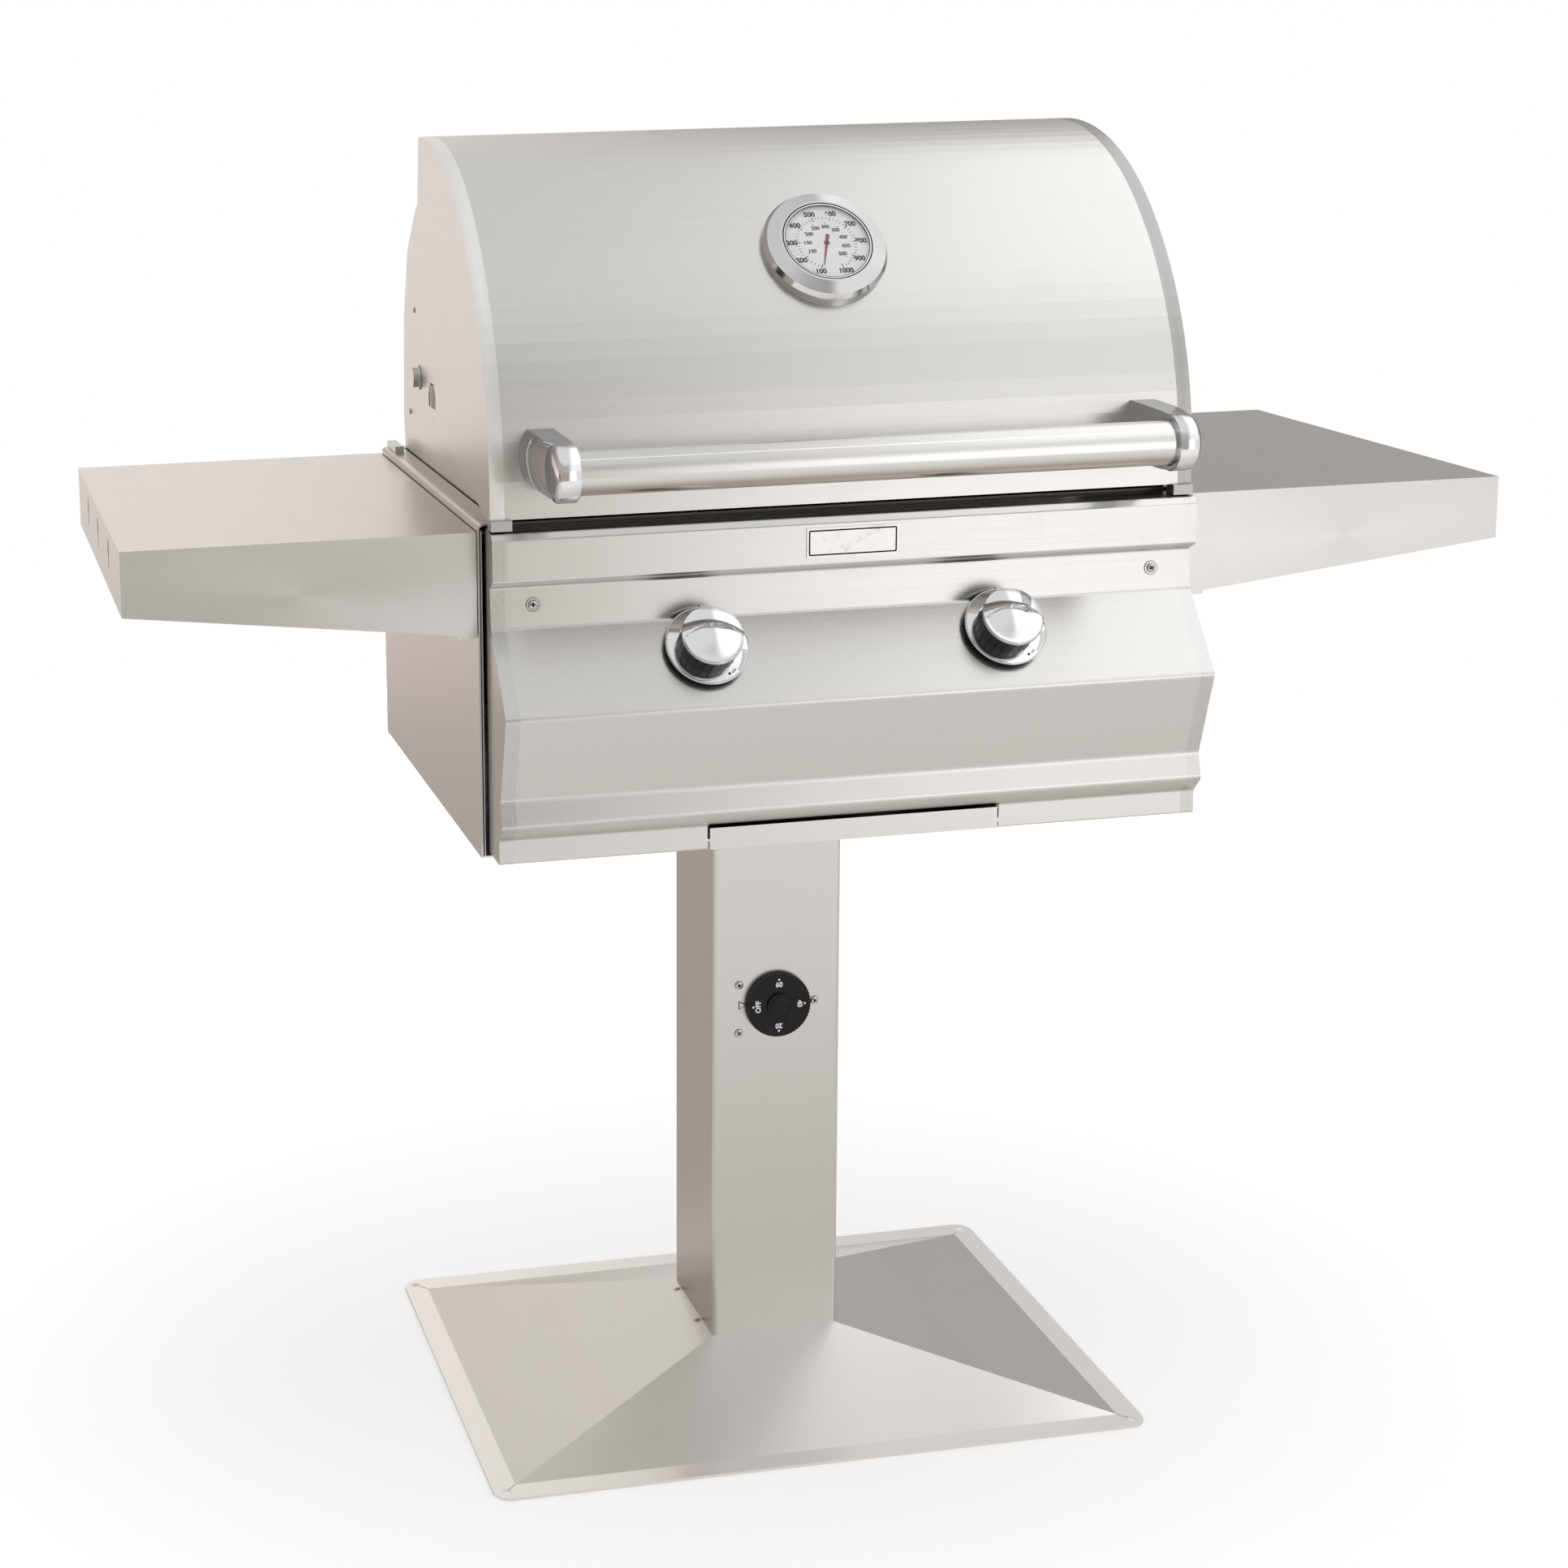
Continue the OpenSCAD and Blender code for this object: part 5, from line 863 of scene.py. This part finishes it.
def knob_pointer(side):
    """The small black triangle above each knob, on the flat band."""
    name = side_name(side)
    shape = move(dot(3.1 * MM, 3), Matrix.Rotation(math.radians(90), 4, "Z"))
    seat = neck_seat(side * KNOB_SIDE, 907.5 * MM, 0.03 * MM)
    new_piece(f"{name}_knob_pointer", move(shape, seat), INK_BLACK, "frame")


for side in (-1, 1):
    knob_grip(side)
    knob_cap(side)
    knob_marks(side)
    knob_underside(side)
    knob_skirt_bead(side)
    knob_pointer(side)


# Thermometer

OUTER_NUMBERS = 34.6 * MM
INNER_NUMBERS = 18.6 * MM
# Degrees clockwise from the top: the mark for 100, the step to the next, and the needle at rest
SCALE_START = 201
SCALE_STEP = 35.33
NEEDLE_REST = 197.0


def gauge_marks():
    """Printed numbers and ticks of both scales."""
    marks = []
    for k in range(10):
        degrees = SCALE_START + SCALE_STEP * k
        number = written(str(100 * (k + 1)), 5.5 * MM, weight=0.06)
        marks.append(slide(number, clock_place(OUTER_NUMBERS, degrees)))
        marks.append(dial_tick(26.0 * MM, 30.6 * MM, 0.8 * MM, degrees))
        if k < 9:
            for j in range(1, 5):
                between = degrees + SCALE_STEP * j / 5
                marks.append(dial_tick(27.4 * MM, 30.2 * MM, 0.45 * MM, between))
    for k in range(9):
        celsius = 100 + 50 * k
        fahrenheit = celsius * 1.8 + 32
        degrees = SCALE_START + SCALE_STEP * (fahrenheit - 100) / 100
        number = written(str(celsius), 4.0 * MM, weight=0.05)
        marks.append(slide(number, clock_place(INNER_NUMBERS, degrees)))
        marks.append(dial_tick(22.4 * MM, 24.0 * MM, 0.6 * MM, degrees))
    shape = slide(gather(marks), (0, 0, DIAL_TOP + INK_LIFT))
    new_piece("gauge_numbers", move(shape, GAUGE), INK_BLACK, "hood")


def gauge_depth(node):
    """Lowest and highest place of a node, measured out from the gauge's seat."""
    heights = [(v.co - GAUGE_SEAT).dot(GAUGE_OUT) for v in grill[node].data.vertices]
    return min(heights), max(heights)


DIAL_TOP = gauge_depth("thermometer_dial")[1]
NEEDLE_LOW, NEEDLE_HIGH = gauge_depth("thermometer_needle")


def gauge_needle():
    """Dark red pointer with an arrow-shaped tail and a turned hub."""
    long_end, tail_end = 27.0 * MM, 10.0 * MM
    tall = NEEDLE_HIGH - NEEDLE_LOW
    thick = tall * 0.6
    hand = slide(block(2.6 * MM, long_end, thick), (0, long_end / 2, 0))
    for point in hand.verts:
        if point.co.y > long_end / 2:
            point.co.x *= 0.28
    tail = slide(block(2.4 * MM, tail_end, thick), (0, -tail_end / 2, 0))
    for point in tail.verts:
        if point.co.y < -tail_end / 2:
            point.co.x *= 1.6
    hub = turned([(0, 0), (2.7 * MM, 0), (2.7 * MM, thick), (1.9 * MM, tall), (0, tall)], 32)
    shape = gather([hand, tail, hub])
    move(shape, Matrix.Rotation(-math.radians(NEEDLE_REST), 4, "Z"))
    slide(shape, (0, 0, NEEDLE_LOW))
    piece = new_piece("gauge_pointer", move(shape, GAUGE), NEEDLE_RED, "needle", 20.0)
    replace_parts(piece, "thermometer_needle")


def ring_at(name, inner, outer, low, high, finish):
    """A flat turned ring on the gauge with softened edges."""
    soft = min(high - low, outer - inner) * 0.3
    outline = [(inner, low), (outer, low), (outer, high - soft), (outer - soft, high)]
    outline += [(inner + soft, high), (inner, high - soft)]
    new_piece(name, move(turned(outline, 128, closed=True), GAUGE), finish, "hood")


def gauge_rings():
    """The black seal at the window, and the bright rings on both sides of it."""
    top = gauge_depth("thermometer_glass")[1]
    for name, inner, outer, low, high, finish, slot in (
        ("gauge_seal", 43.0, 44.2, 0.05, 0.55, BLACK, "black_plastic"),
        ("gauge_inner_ring", 41.6, 42.9, 0.02, 0.35, CHROME, "chrome_castings"),
        ("gauge_inner_line", 41.0, 41.5, 0.02, 0.12, BLACK, "black_plastic"),
    ):
        ring_at(name, inner * MM, outer * MM, top + low * MM, top + high * MM, finish)


gauge_marks()
gauge_needle()
gauge_rings()


# Timer

DIAL_FRONT = 7.0 * MM
TIMER_NUMBERS = 22.6 * MM
TIMER_DOTS = 28.2 * MM


def timer_marks():
    """OFF at the left, and the plain minutes 60, 40 and 20 round the dial."""
    marks = []
    for text, degrees, turn in (("60", 0, 0), ("40", 90, -90), ("20", 180, -180), ("OFF", 270, 90)):
        number = written(text, 5.6 * MM, math.radians(turn), 0.05)
        marks.append(slide(number, clock_place(TIMER_NUMBERS, degrees)))
        marks.append(slide(dot(1.2 * MM, 16), clock_place(TIMER_DOTS, degrees)))
    shape = slide(gather(marks), (0, 0, DIAL_FRONT + INK_LIFT))
    new_piece("timer_numbers", move(shape, post_seat()), INK_WHITE, "timer")


def timer_button():
    """The round button on the hub of the dial, and the thin ring round it."""
    outline = [(0, 3.02), (9.6, 3.02), (9.6, 3.7), (9.1, 4.1), (8.0, 4.2), (0, 4.2)]
    button = turned(in_mm(outline, DIAL_FRONT), 72)
    outline = [(11.6, 3.02), (13.1, 3.02), (13.1, 3.3), (12.7, 3.5), (12.0, 3.5), (11.6, 3.3)]
    ring = turned(in_mm(outline, DIAL_FRONT), 72, closed=True)
    shape = move(gather([button, ring]), post_seat())
    new_piece("timer_button", shape, BLACK, "timer")


def post_pointer():
    """The triangle drawn on the post that the timer is read against."""
    left, tip, tall, line = -41.6 * MM, -33.0 * MM, 8.2 * MM, 1.0 * MM
    slope = math.atan2(tall / 2, tip - left)
    edge = math.hypot(tall / 2, tip - left)
    sides = [slide(block(line, tall + line, INK), (left, 0, 0))]
    for sign in (-1, 1):
        bar = block(edge, line * (1.0 if sign > 0 else 0.45), INK)
        move(bar, Matrix.Rotation(-sign * slope, 4, "Z"))
        sides.append(slide(bar, ((left + tip) / 2, sign * tall / 4, 0)))
    shape = slide(gather(sides), (0, 0.8 * MM, 0.03 * MM))
    new_piece("timer_pointer", move(shape, post_seat()), INK_BLACK, "frame")


timer_marks()
timer_button()
post_pointer()


# Nameplate


def nameplate_border():
    """A thin dark line inside the bare plate's bright edge."""
    low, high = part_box("nameplate")
    wide, tall = high.x - low.x, high.z - low.z
    edge, line = 2.7 * MM, 1.35 * MM
    parts = []
    for sign in (-1, 1):
        bar = block(wide - 2 * edge, line, INK)
        parts.append(slide(bar, (0, sign * (tall / 2 - edge), 0)))
        bar = block(line, tall - 2 * edge, INK)
        parts.append(slide(bar, (sign * (wide / 2 - edge), 0, 0)))
    place = Vector(((low.x + high.x) / 2, low.y - INK_LIFT, (low.z + high.z) / 2))
    shape = move(gather(parts), seat_at(place, Vector((0, -1, 0))))
    new_piece("nameplate_border", shape, INK_BLACK, "frame")


nameplate_border()


# Screws

RECESS_SHARE = 0.56
RECESS_WIDTH = 0.13
RECESS_DEPTH = 1.3 * MM
PANEL_HEAD = 4.25 * MM
TIMER_HEAD = 4.15 * MM
# Places across and up from the dial's middle in millimetres, and the turn of the cross
TIMER_SCREWS = ((-41.7, 23.3, 0.2), (-41.7, -29.6, 0.5), (41.1, 0.0, 0.9))
PANEL_SCREWS = ((-1, 0.12), (1, 0.6))
WASHER = ((2.5, 0.02), (6.3, 0.02), (6.4, 0.35), (6.0, 0.78), (2.5, 0.78))
# A dark ring just outside each washer: painted shade
WASHER_SHADE_RING = ((6.5, 0.01), (6.9, 0.01), (6.9, 0.1), (6.5, 0.1))


def cross_recess_head(radius, height, seat_z=0.0, turn=0.0):
    """A domed screw head pressed with a cross recess."""
    rings, steps = 12, 48
    outline = [(0, seat_z), (radius, seat_z), (radius, seat_z + height * 0.35)]
    for k in range(rings + 1):
        share = 1 - k / rings
        dome = 0.45 + 0.55 * (1 - share ** 2.4)
        outline.append((radius * 0.98 * share, seat_z + height * dome))
    shape = turned(outline, steps)
    reach, half = radius * RECESS_SHARE, radius * RECESS_WIDTH
    for point in shape.verts:
        if point.co.z < seat_z + height * 0.4:
            continue
        radial = math.hypot(point.co.x, point.co.y)
        arm = max(abs(point.co.x), abs(point.co.y))
        aside = min(abs(point.co.x), abs(point.co.y))
        if radial < reach and aside <= max(half, radial * 0.14):
            point.co.z -= RECESS_DEPTH * (1.15 - 0.75 * arm / reach)
    return move(shape, Matrix.Rotation(turn, 4, "Z"))


def recess_shade(radius, depth):
    """Painted shade: a dark floor for a cross recess, and a dark line round the head."""
    shapes = []
    for turn in (0, 90):
        bar = slide(block(radius * 0.30, radius * 1.16, 0.05 * MM), (0, 0, depth))
        shapes.append(move(bar, Matrix.Rotation(math.radians(turn), 4, "Z")))
    low, high, outer = 0.01 * MM, 0.12 * MM, radius + 0.45 * MM
    ring = [(radius, low), (outer, low), (outer, high), (radius, high)]
    return shapes, turned(ring, 40, closed=True)


def screw_shank(radius, length):
    outline = [(0, -length), (radius * 0.7, -length), (radius, -length + radius * 0.5)]
    return turned(outline + [(radius, 0.0), (0, 0.0)], 24)


def panel_screw_set():
    """Two washer-head screws that hold the panel to the body sides."""
    shapes, shades = [], []
    for side, turn in PANEL_SCREWS:
        washer = turned(in_mm(WASHER), 48, closed=True)
        head = cross_recess_head(PANEL_HEAD, 2.2 * MM, 0.8 * MM, turn)
        seat = neck_seat(side * PANEL_SCREW_SIDE, PANEL_SCREW_Z)
        shapes.append(move(gather([washer, head, screw_shank(2.4 * MM, 9 * MM)]), seat))
        bars, ring = recess_shade(PANEL_HEAD, 2.35 * MM)
        slide(ring, (0, 0, 0.8 * MM))
        washer_shade = turned(in_mm(WASHER_SHADE_RING), 48, closed=True)
        cross = move(gather(bars), Matrix.Rotation(turn, 4, "Z"))
        shades.append(move(gather([cross, ring, washer_shade]), seat))
    new_piece("panel_screw_shades", gather(shades), INK_BLACK, "frame")
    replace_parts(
        new_piece(
            "panel_cross_screws", gather(shapes), BRIGHT_STEEL, "frame", 30.0
        ),
        "panel_screws",
    )


def timer_screw_set():
    """Three pan-head screws that hold the timer behind the post's face."""
    shapes, shades = [], []
    for across, up, turn in TIMER_SCREWS:
        head = cross_recess_head(TIMER_HEAD, 2.15 * MM, 0.03 * MM, turn)
        seat = post_seat() @ Matrix.Translation((across * MM, up * MM, 0))
        shapes.append(move(gather([head, screw_shank(1.9 * MM, 4 * MM)]), seat))
        bars, ring = recess_shade(TIMER_HEAD, 1.55 * MM)
        cross = move(gather(bars), Matrix.Rotation(turn, 4, "Z"))
        shades.append(move(gather([cross, ring]), seat))
    new_piece("timer_screw_shades", gather(shades), INK_BLACK, "frame")
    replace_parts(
        new_piece(
            "timer_cross_screws", gather(shapes), BRIGHT_STEEL, "frame", 30.0
        ),
        "timer_screws",
    )


panel_screw_set()
timer_screw_set()


# Handle brackets

BRACKET_IN_X = 285.0
COLLAR_RADIUS = 27.0
SOCKET_DEPTH = 9.1
SOCKET_RADIUS = 21.2
FOOT_MIDDLE_Z = 1055.5
FOOT_SEAT_RADIUS = 338.1
BULGE_STEPS = 12
WELL_INSIDE_COLLAR = 24.4
# The share of the way from foot to tube, and the arm's section there: width above,
# width below, bulge, half height above and half height below, in millimetres
BRACKET_LEVELS = (
    (0.00, 24.5, 16.5, 13.2, 28.5, 28.0),
    (0.10, 24.5, 16.5, 12.0, 28.4, 28.0),
    (0.20, 24.6, 16.5, 10.3, 28.3, 28.0),
    (0.29, 24.6, 16.5, 9.2, 28.2, 28.0),
    (0.305, 24.6, 16.5, 10.4, 28.2, 28.0),
    (0.36, 24.6, 16.5, 10.2, 28.1, 28.0),
    (0.375, 24.5, 16.5, 8.3, 28.1, 27.9),
    (0.41, 24.5, 16.5, 8.1, 28.0, 27.9),
    (0.425, 24.4, 16.5, 9.2, 28.0, 27.9),
    (0.60, 24.0, 16.4, 7.4, 27.8, 27.8),
    (0.78, 22.4, 16.0, 5.0, 27.4, 27.5),
    (0.90, 20.2, 15.0, 3.8, 26.8, 26.8),
    (1.00, 18.0, 14.0, 3.0, 26.0, 26.0),
)


def bracket_section(above, below, bulge, high, low):
    """Flat towards the tube, flat above and below, bulging on the outer side."""
    points = [(0.0, -low), (below * 0.5, -low)]
    for k in range(-BULGE_STEPS, BULGE_STEPS + 1):
        t = math.sin(math.pi / 2 * k / BULGE_STEPS)
        straight = below + (above - below) * (t + 1) / 2
        fullness = 1 - abs(t) ** (2.2 if t > 0 else 4.0)
        points.append((straight + bulge * fullness, t * (high if t > 0 else low)))
    return points + [(above * 0.5, high), (0.0, high)]


def bracket_arm():
    """The arm that swells from the collar to its foot on the hood."""
    shape = bmesh.new()
    rings = []
    for share, *sizes in BRACKET_LEVELS:
        ring = []
        for u, w in bracket_section(*sizes):
            x = BRACKET_IN_X + max(u, 0.4 * share)
            z = FOOT_MIDDLE_Z + (HANDLE_Z / MM - FOOT_MIDDLE_Z) * share + w
            over_hood = z - HOOD_CENTRE_Z / MM
            over_tube = z - HANDLE_Z / MM
            foot_y = HOOD_CENTRE_Y / MM - math.sqrt(FOOT_SEAT_RADIUS ** 2 - over_hood ** 2)
            sunk = math.sqrt(max(0.0, WELL_INSIDE_COLLAR ** 2 - over_tube ** 2))
            tube_y = HANDLE_Y / MM + sunk
            y = foot_y + (tube_y - foot_y) * share
            ring.append(shape.verts.new((x * MM, y * MM, z * MM)))
        rings.append(ring)
    for first, second in zip(rings, rings[1:]):
        for k in range(len(first)):
            after = (k + 1) % len(first)
            shape.faces.new((first[k], first[after], second[after], second[k]))
    shape.faces.new(rings[0])
    shape.faces.new(rings[-1])
    bmesh.ops.triangulate(shape, faces=[face for face in shape.faces if len(face.verts) > 4])
    return shape


def bracket_collar():
    """The ring round the tube's end, with its domed cap."""
    outline = [(0, SOCKET_DEPTH), (SOCKET_RADIUS, SOCKET_DEPTH), (SOCKET_RADIUS, 0.8)]
    outline += [(21.9, 0.0), (25.4, 0.0), (26.5, 0.35), (COLLAR_RADIUS, 1.3)]
    outline += [(COLLAR_RADIUS, 16.4), (26.75, 17.6), (25.9, 19.2), (24.2, 20.9), (21.5, 22.3)]
    outline += [(17.0, 23.3), (12.0, 23.8), (6.0, 24.0), (0, 24.0)]
    shape = turned(in_mm(outline), 96)
    turn = Matrix(((0, 0, 1), (0, 1, 0), (-1, 0, 0))).to_4x4()
    return move(shape, Matrix.Translation((BRACKET_IN_X * MM, HANDLE_Y, HANDLE_Z)) @ turn)


for side, name in ((1, "right"), (-1, "left")):
    shape = gather([bracket_arm(), bracket_collar()])
    if side < 0:
        move(shape, Matrix.Scale(-1, 4, (1, 0, 0)))
    bracket = new_piece(f"{name}_swept_bracket", shape, CHROME, "hood", 38.0)
    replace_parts(bracket, f"{name}_handle_bracket")


# Studio

CAMERA_PLACE = Vector((-0.889986, -2.713651, 1.463588))
CAMERA_AHEAD = Vector((0.174762, 0.966384, -0.188574))
CAMERA_RIGHT = Vector((0.983111, -0.181832, -0.020731))
CAMERA_UP = Vector((0.054323, 0.181766, 0.981840))
PICTURE_SIDE = 1932
FOCAL_PIXELS = 3396.756
MIDDLE_ACROSS = 471.293
MIDDLE_DOWN = 668.254
SENSOR = 36.0

# What the metal sees of the studio, by direction
FRONT_DIM = (0.45, 0.40, 0.36, 1)
FRONT_BRIGHT = (1.72, 1.70, 1.67, 1)
FRONT_FAR_RIGHT = (0.85, 0.84, 0.83, 1)
SLOPE_DIM = (0.48, 0.47, 0.46, 1)
SLOPE_BRIGHT = (1.05, 1.05, 1.04, 1)
ABOVE_DIM = (0.80, 0.80, 0.79, 1)
ABOVE_BRIGHT = (1.50, 1.50, 1.51, 1)
BACK_WARM = (0.97, 0.90, 0.86, 1)
BACK_DIM = (0.34, 0.33, 0.32, 1)
BACK_DIM_HIGH = (0.58, 0.56, 0.54, 1)
BACK_LOW = (0.45, 0.36, 0.31, 1)
BACK_LEFT = (0.44, 0.36, 0.32, 1)
# Small dark screens: direction, inner and outer angle in degrees, and strength
DARK_SCREENS = (
    ((-0.93, -0.20, -0.10), 3, 12, 0.95),
    ((0.85, -0.15, 0.35), 3, 10, 0.8),
    ((-0.45, -0.60, 0.65), 2, 9, 0.7),
)
SCREEN_COLOUR = (0.03, 0.03, 0.03, 1)
SOFT_SKY = (0.88, 0.88, 0.88, 1)
BLACK_TONE = (0, 0, 0, 1)
WHITE_TONE = (1, 1, 1, 1)
LAMP_PLACE = Vector((0.3, -0.6, 4.2))
LAMP_TARGET = Vector((0, 0, 0.6))
LAMP_SIDE = 3.2
LAMP_POWER = 24
FLOOR_RADIUS = 3.2
FLOOR_PAPER = (0.80, 0.80, 0.80, 1)
# The tones the floor glows with for glossy rays, in place of being lit: painted light and shade
FLOOR_FAR = (0.97, 0.95, 0.93, 1)
FLOOR_NEAR = (0.71, 0.665, 0.63, 1)
FLOOR_BEHIND = (0.48, 0.42, 0.38, 1)
FLOOR_RIGHT = (1.05, 1.02, 1.00, 1)


def place_camera():
    camera = bpy.data.objects.new("camera", bpy.data.cameras.new("camera"))
    bpy.context.scene.collection.objects.link(camera)
    turn = Matrix((CAMERA_RIGHT, CAMERA_UP, -CAMERA_AHEAD)).transposed()
    camera.matrix_world = Matrix.Translation(CAMERA_PLACE) @ turn.to_4x4()
    camera.data.sensor_width = SENSOR
    camera.data.lens = FOCAL_PIXELS * SENSOR / PICTURE_SIDE
    camera.data.shift_x = (PICTURE_SIDE / 2 - MIDDLE_ACROSS) / PICTURE_SIDE
    camera.data.shift_y = (MIDDLE_DOWN - PICTURE_SIDE / 2) / PICTURE_SIDE
    bpy.context.scene.camera = camera


def direction_patch(tree, place, toward, inner, outer):
    """1 within the inner angle of a direction, fading to 0 at the outer one."""
    along = reckon_vector(tree, "DOT_PRODUCT", place, Vector(toward).normalized())["Value"]
    edge, core = (math.cos(math.radians(angle)) for angle in (outer, inner))
    return spread(tree, along, edge, core, 0.0, 1.0)


def studio_walls(tree, place):
    """The studio as metal sees it: bright in front on the right, dimmer low at the back."""
    across, ahead, height = split(tree, place)

    def shift(value, low, high, first, second):
        """From the first colour to the second while a direction's part goes low to high."""
        return blend_colours(tree, spread(tree, value, low, high, 0.0, 1.0), first, second)

    front = shift(across, 0.19, 0.37, FRONT_DIM, FRONT_BRIGHT)
    front = shift(across, 0.42, 0.56, front, FRONT_FAR_RIGHT)
    slope = shift(across, 0.20, 0.38, SLOPE_DIM, SLOPE_BRIGHT)
    front = shift(height, 0.10, 0.35, front, slope)
    dim = shift(height, 0.18, 0.40, BACK_DIM, BACK_DIM_HIGH)
    back = shift(across, 0.12, 0.36, BACK_WARM, dim)
    low = spread(tree, height, -0.36, -0.08, 1.0, 0.0)
    back = blend_colours(tree, low, back, BACK_LOW)
    left = spread(tree, across, -0.16, -0.07, 1.0, 0.0)
    raised = spread(tree, height, 0.0, 0.12, 0.0, 1.0)
    back = blend_colours(tree, reckon(tree, "MULTIPLY", left, raised), back, BACK_LEFT)
    walls = shift(ahead, -0.30, 0.35, front, back)
    above = shift(across, 0.29, 0.43, ABOVE_DIM, ABOVE_BRIGHT)
    walls = shift(height, 0.50, 0.78, walls, above)
    for toward, inner, outer, strength in DARK_SCREENS:
        patch = direction_patch(tree, place, toward, inner, outer)
        screened = reckon(tree, "MULTIPLY", patch, strength)
        walls = blend_colours(tree, screened, walls, SCREEN_COLOUR)
    return walls


def light_world():
    """White to the camera, an even pale grey to dull surfaces, and the walls to metal."""
    world = bpy.data.worlds.new("studio")
    bpy.context.scene.world = world
    world.use_nodes = True
    tree = world.node_tree
    tree.nodes.clear()
    place = add_node(tree, "ShaderNodeTexCoord").outputs["Generated"]
    lights = []
    for colour in (studio_walls(tree, place), SOFT_SKY, WHITE_TONE):
        light = add_node(tree, "ShaderNodeBackground")
        wire(tree, light, Color=colour)
        lights.append(light.outputs[0])
    mirrored, soft, seen = lights
    path = add_node(tree, "ShaderNodeLightPath")
    camera, clear = path.outputs["Is Camera Ray"], path.outputs["Is Transmission Ray"]
    through = reckon(tree, "MAXIMUM", camera, clear)
    lit = soft
    for share, other in ((path.outputs["Is Glossy Ray"], mirrored), (through, seen)):
        mix = add_node(tree, "ShaderNodeMixShader")
        for socket, value in zip(mix.inputs, (share, lit, other)):
            feed(tree, value, socket)
        lit = mix.outputs[0]
    wire(tree, add_node(tree, "ShaderNodeOutputWorld"), Surface=lit)


def lay_floor():
    """White paper floor: the camera sees it white with its soft shadow; to metal it glows with
    painted light and shade instead of being lit.
    """
    shape = bmesh.new()
    bmesh.ops.create_circle(shape, cap_ends=True, radius=FLOOR_RADIUS, segments=128)
    mesh = bpy.data.meshes.new("studio_floor")
    shape.to_mesh(mesh)
    shape.free()
    floor = bpy.data.objects.new("studio_floor", mesh)
    bpy.context.scene.collection.objects.link(floor)
    finish, tree, shader = new_finish("studio_floor_paper")
    path = add_node(tree, "ShaderNodeLightPath")
    mirrored = path.outputs["Is Glossy Ray"]
    place = object_place(tree)
    parts = split(tree, place)
    # Painted light and shade: darker near the grill and behind it on the left, brighter behind on
    # the right
    near = spread(tree, parts["Y"], -1.8, -0.4, 0.0, 1.0)
    tone = blend_colours(tree, near, FLOOR_FAR, FLOOR_NEAR)
    left = spread(tree, parts["X"], -0.15, 0.15, 1.0, 0.0)
    behind = spread(tree, parts["Y"], 0.0, 0.5, 0.0, 1.0)
    side = blend_colours(tree, left, FLOOR_RIGHT, FLOOR_BEHIND)
    tone = blend_colours(tree, behind, tone, side)
    paper = blend_colours(tree, mirrored, FLOOR_PAPER, BLACK_TONE)
    wire(tree, shader, Base_Color=paper, Roughness=0.9, Specular_IOR_Level=0.0)
    away = reckon_vector(tree, "LENGTH", place)["Value"]
    glow = spread(tree, away, 0.4, 2.6, 0.27, 0.60)
    lifted = reckon(tree, "MULTIPLY_ADD", path.outputs["Is Camera Ray"], glow, mirrored)
    glowing = blend_colours(tree, mirrored, WHITE_TONE, tone)
    wire(tree, shader, Emission_Color=glowing, Emission_Strength=lifted)
    mesh.materials.append(finish)


def set_lamp():
    """One broad soft box overhead, which metal doesn't mirror."""
    lamp = bpy.data.lights.new("overhead_softbox", "AREA")
    lamp.shape = "RECTANGLE"
    lamp.size = lamp.size_y = LAMP_SIDE
    lamp.energy = LAMP_POWER
    holder = bpy.data.objects.new("overhead_softbox", lamp)
    bpy.context.scene.collection.objects.link(holder)
    aim = (LAMP_TARGET - LAMP_PLACE).to_track_quat("-Z", "Y")
    holder.matrix_world = Matrix.Translation(LAMP_PLACE) @ aim.to_matrix().to_4x4()
    holder.visible_glossy = False


place_camera()
light_world()
lay_floor()
set_lamp()
bpy.context.scene.view_settings.view_transform = "Standard"
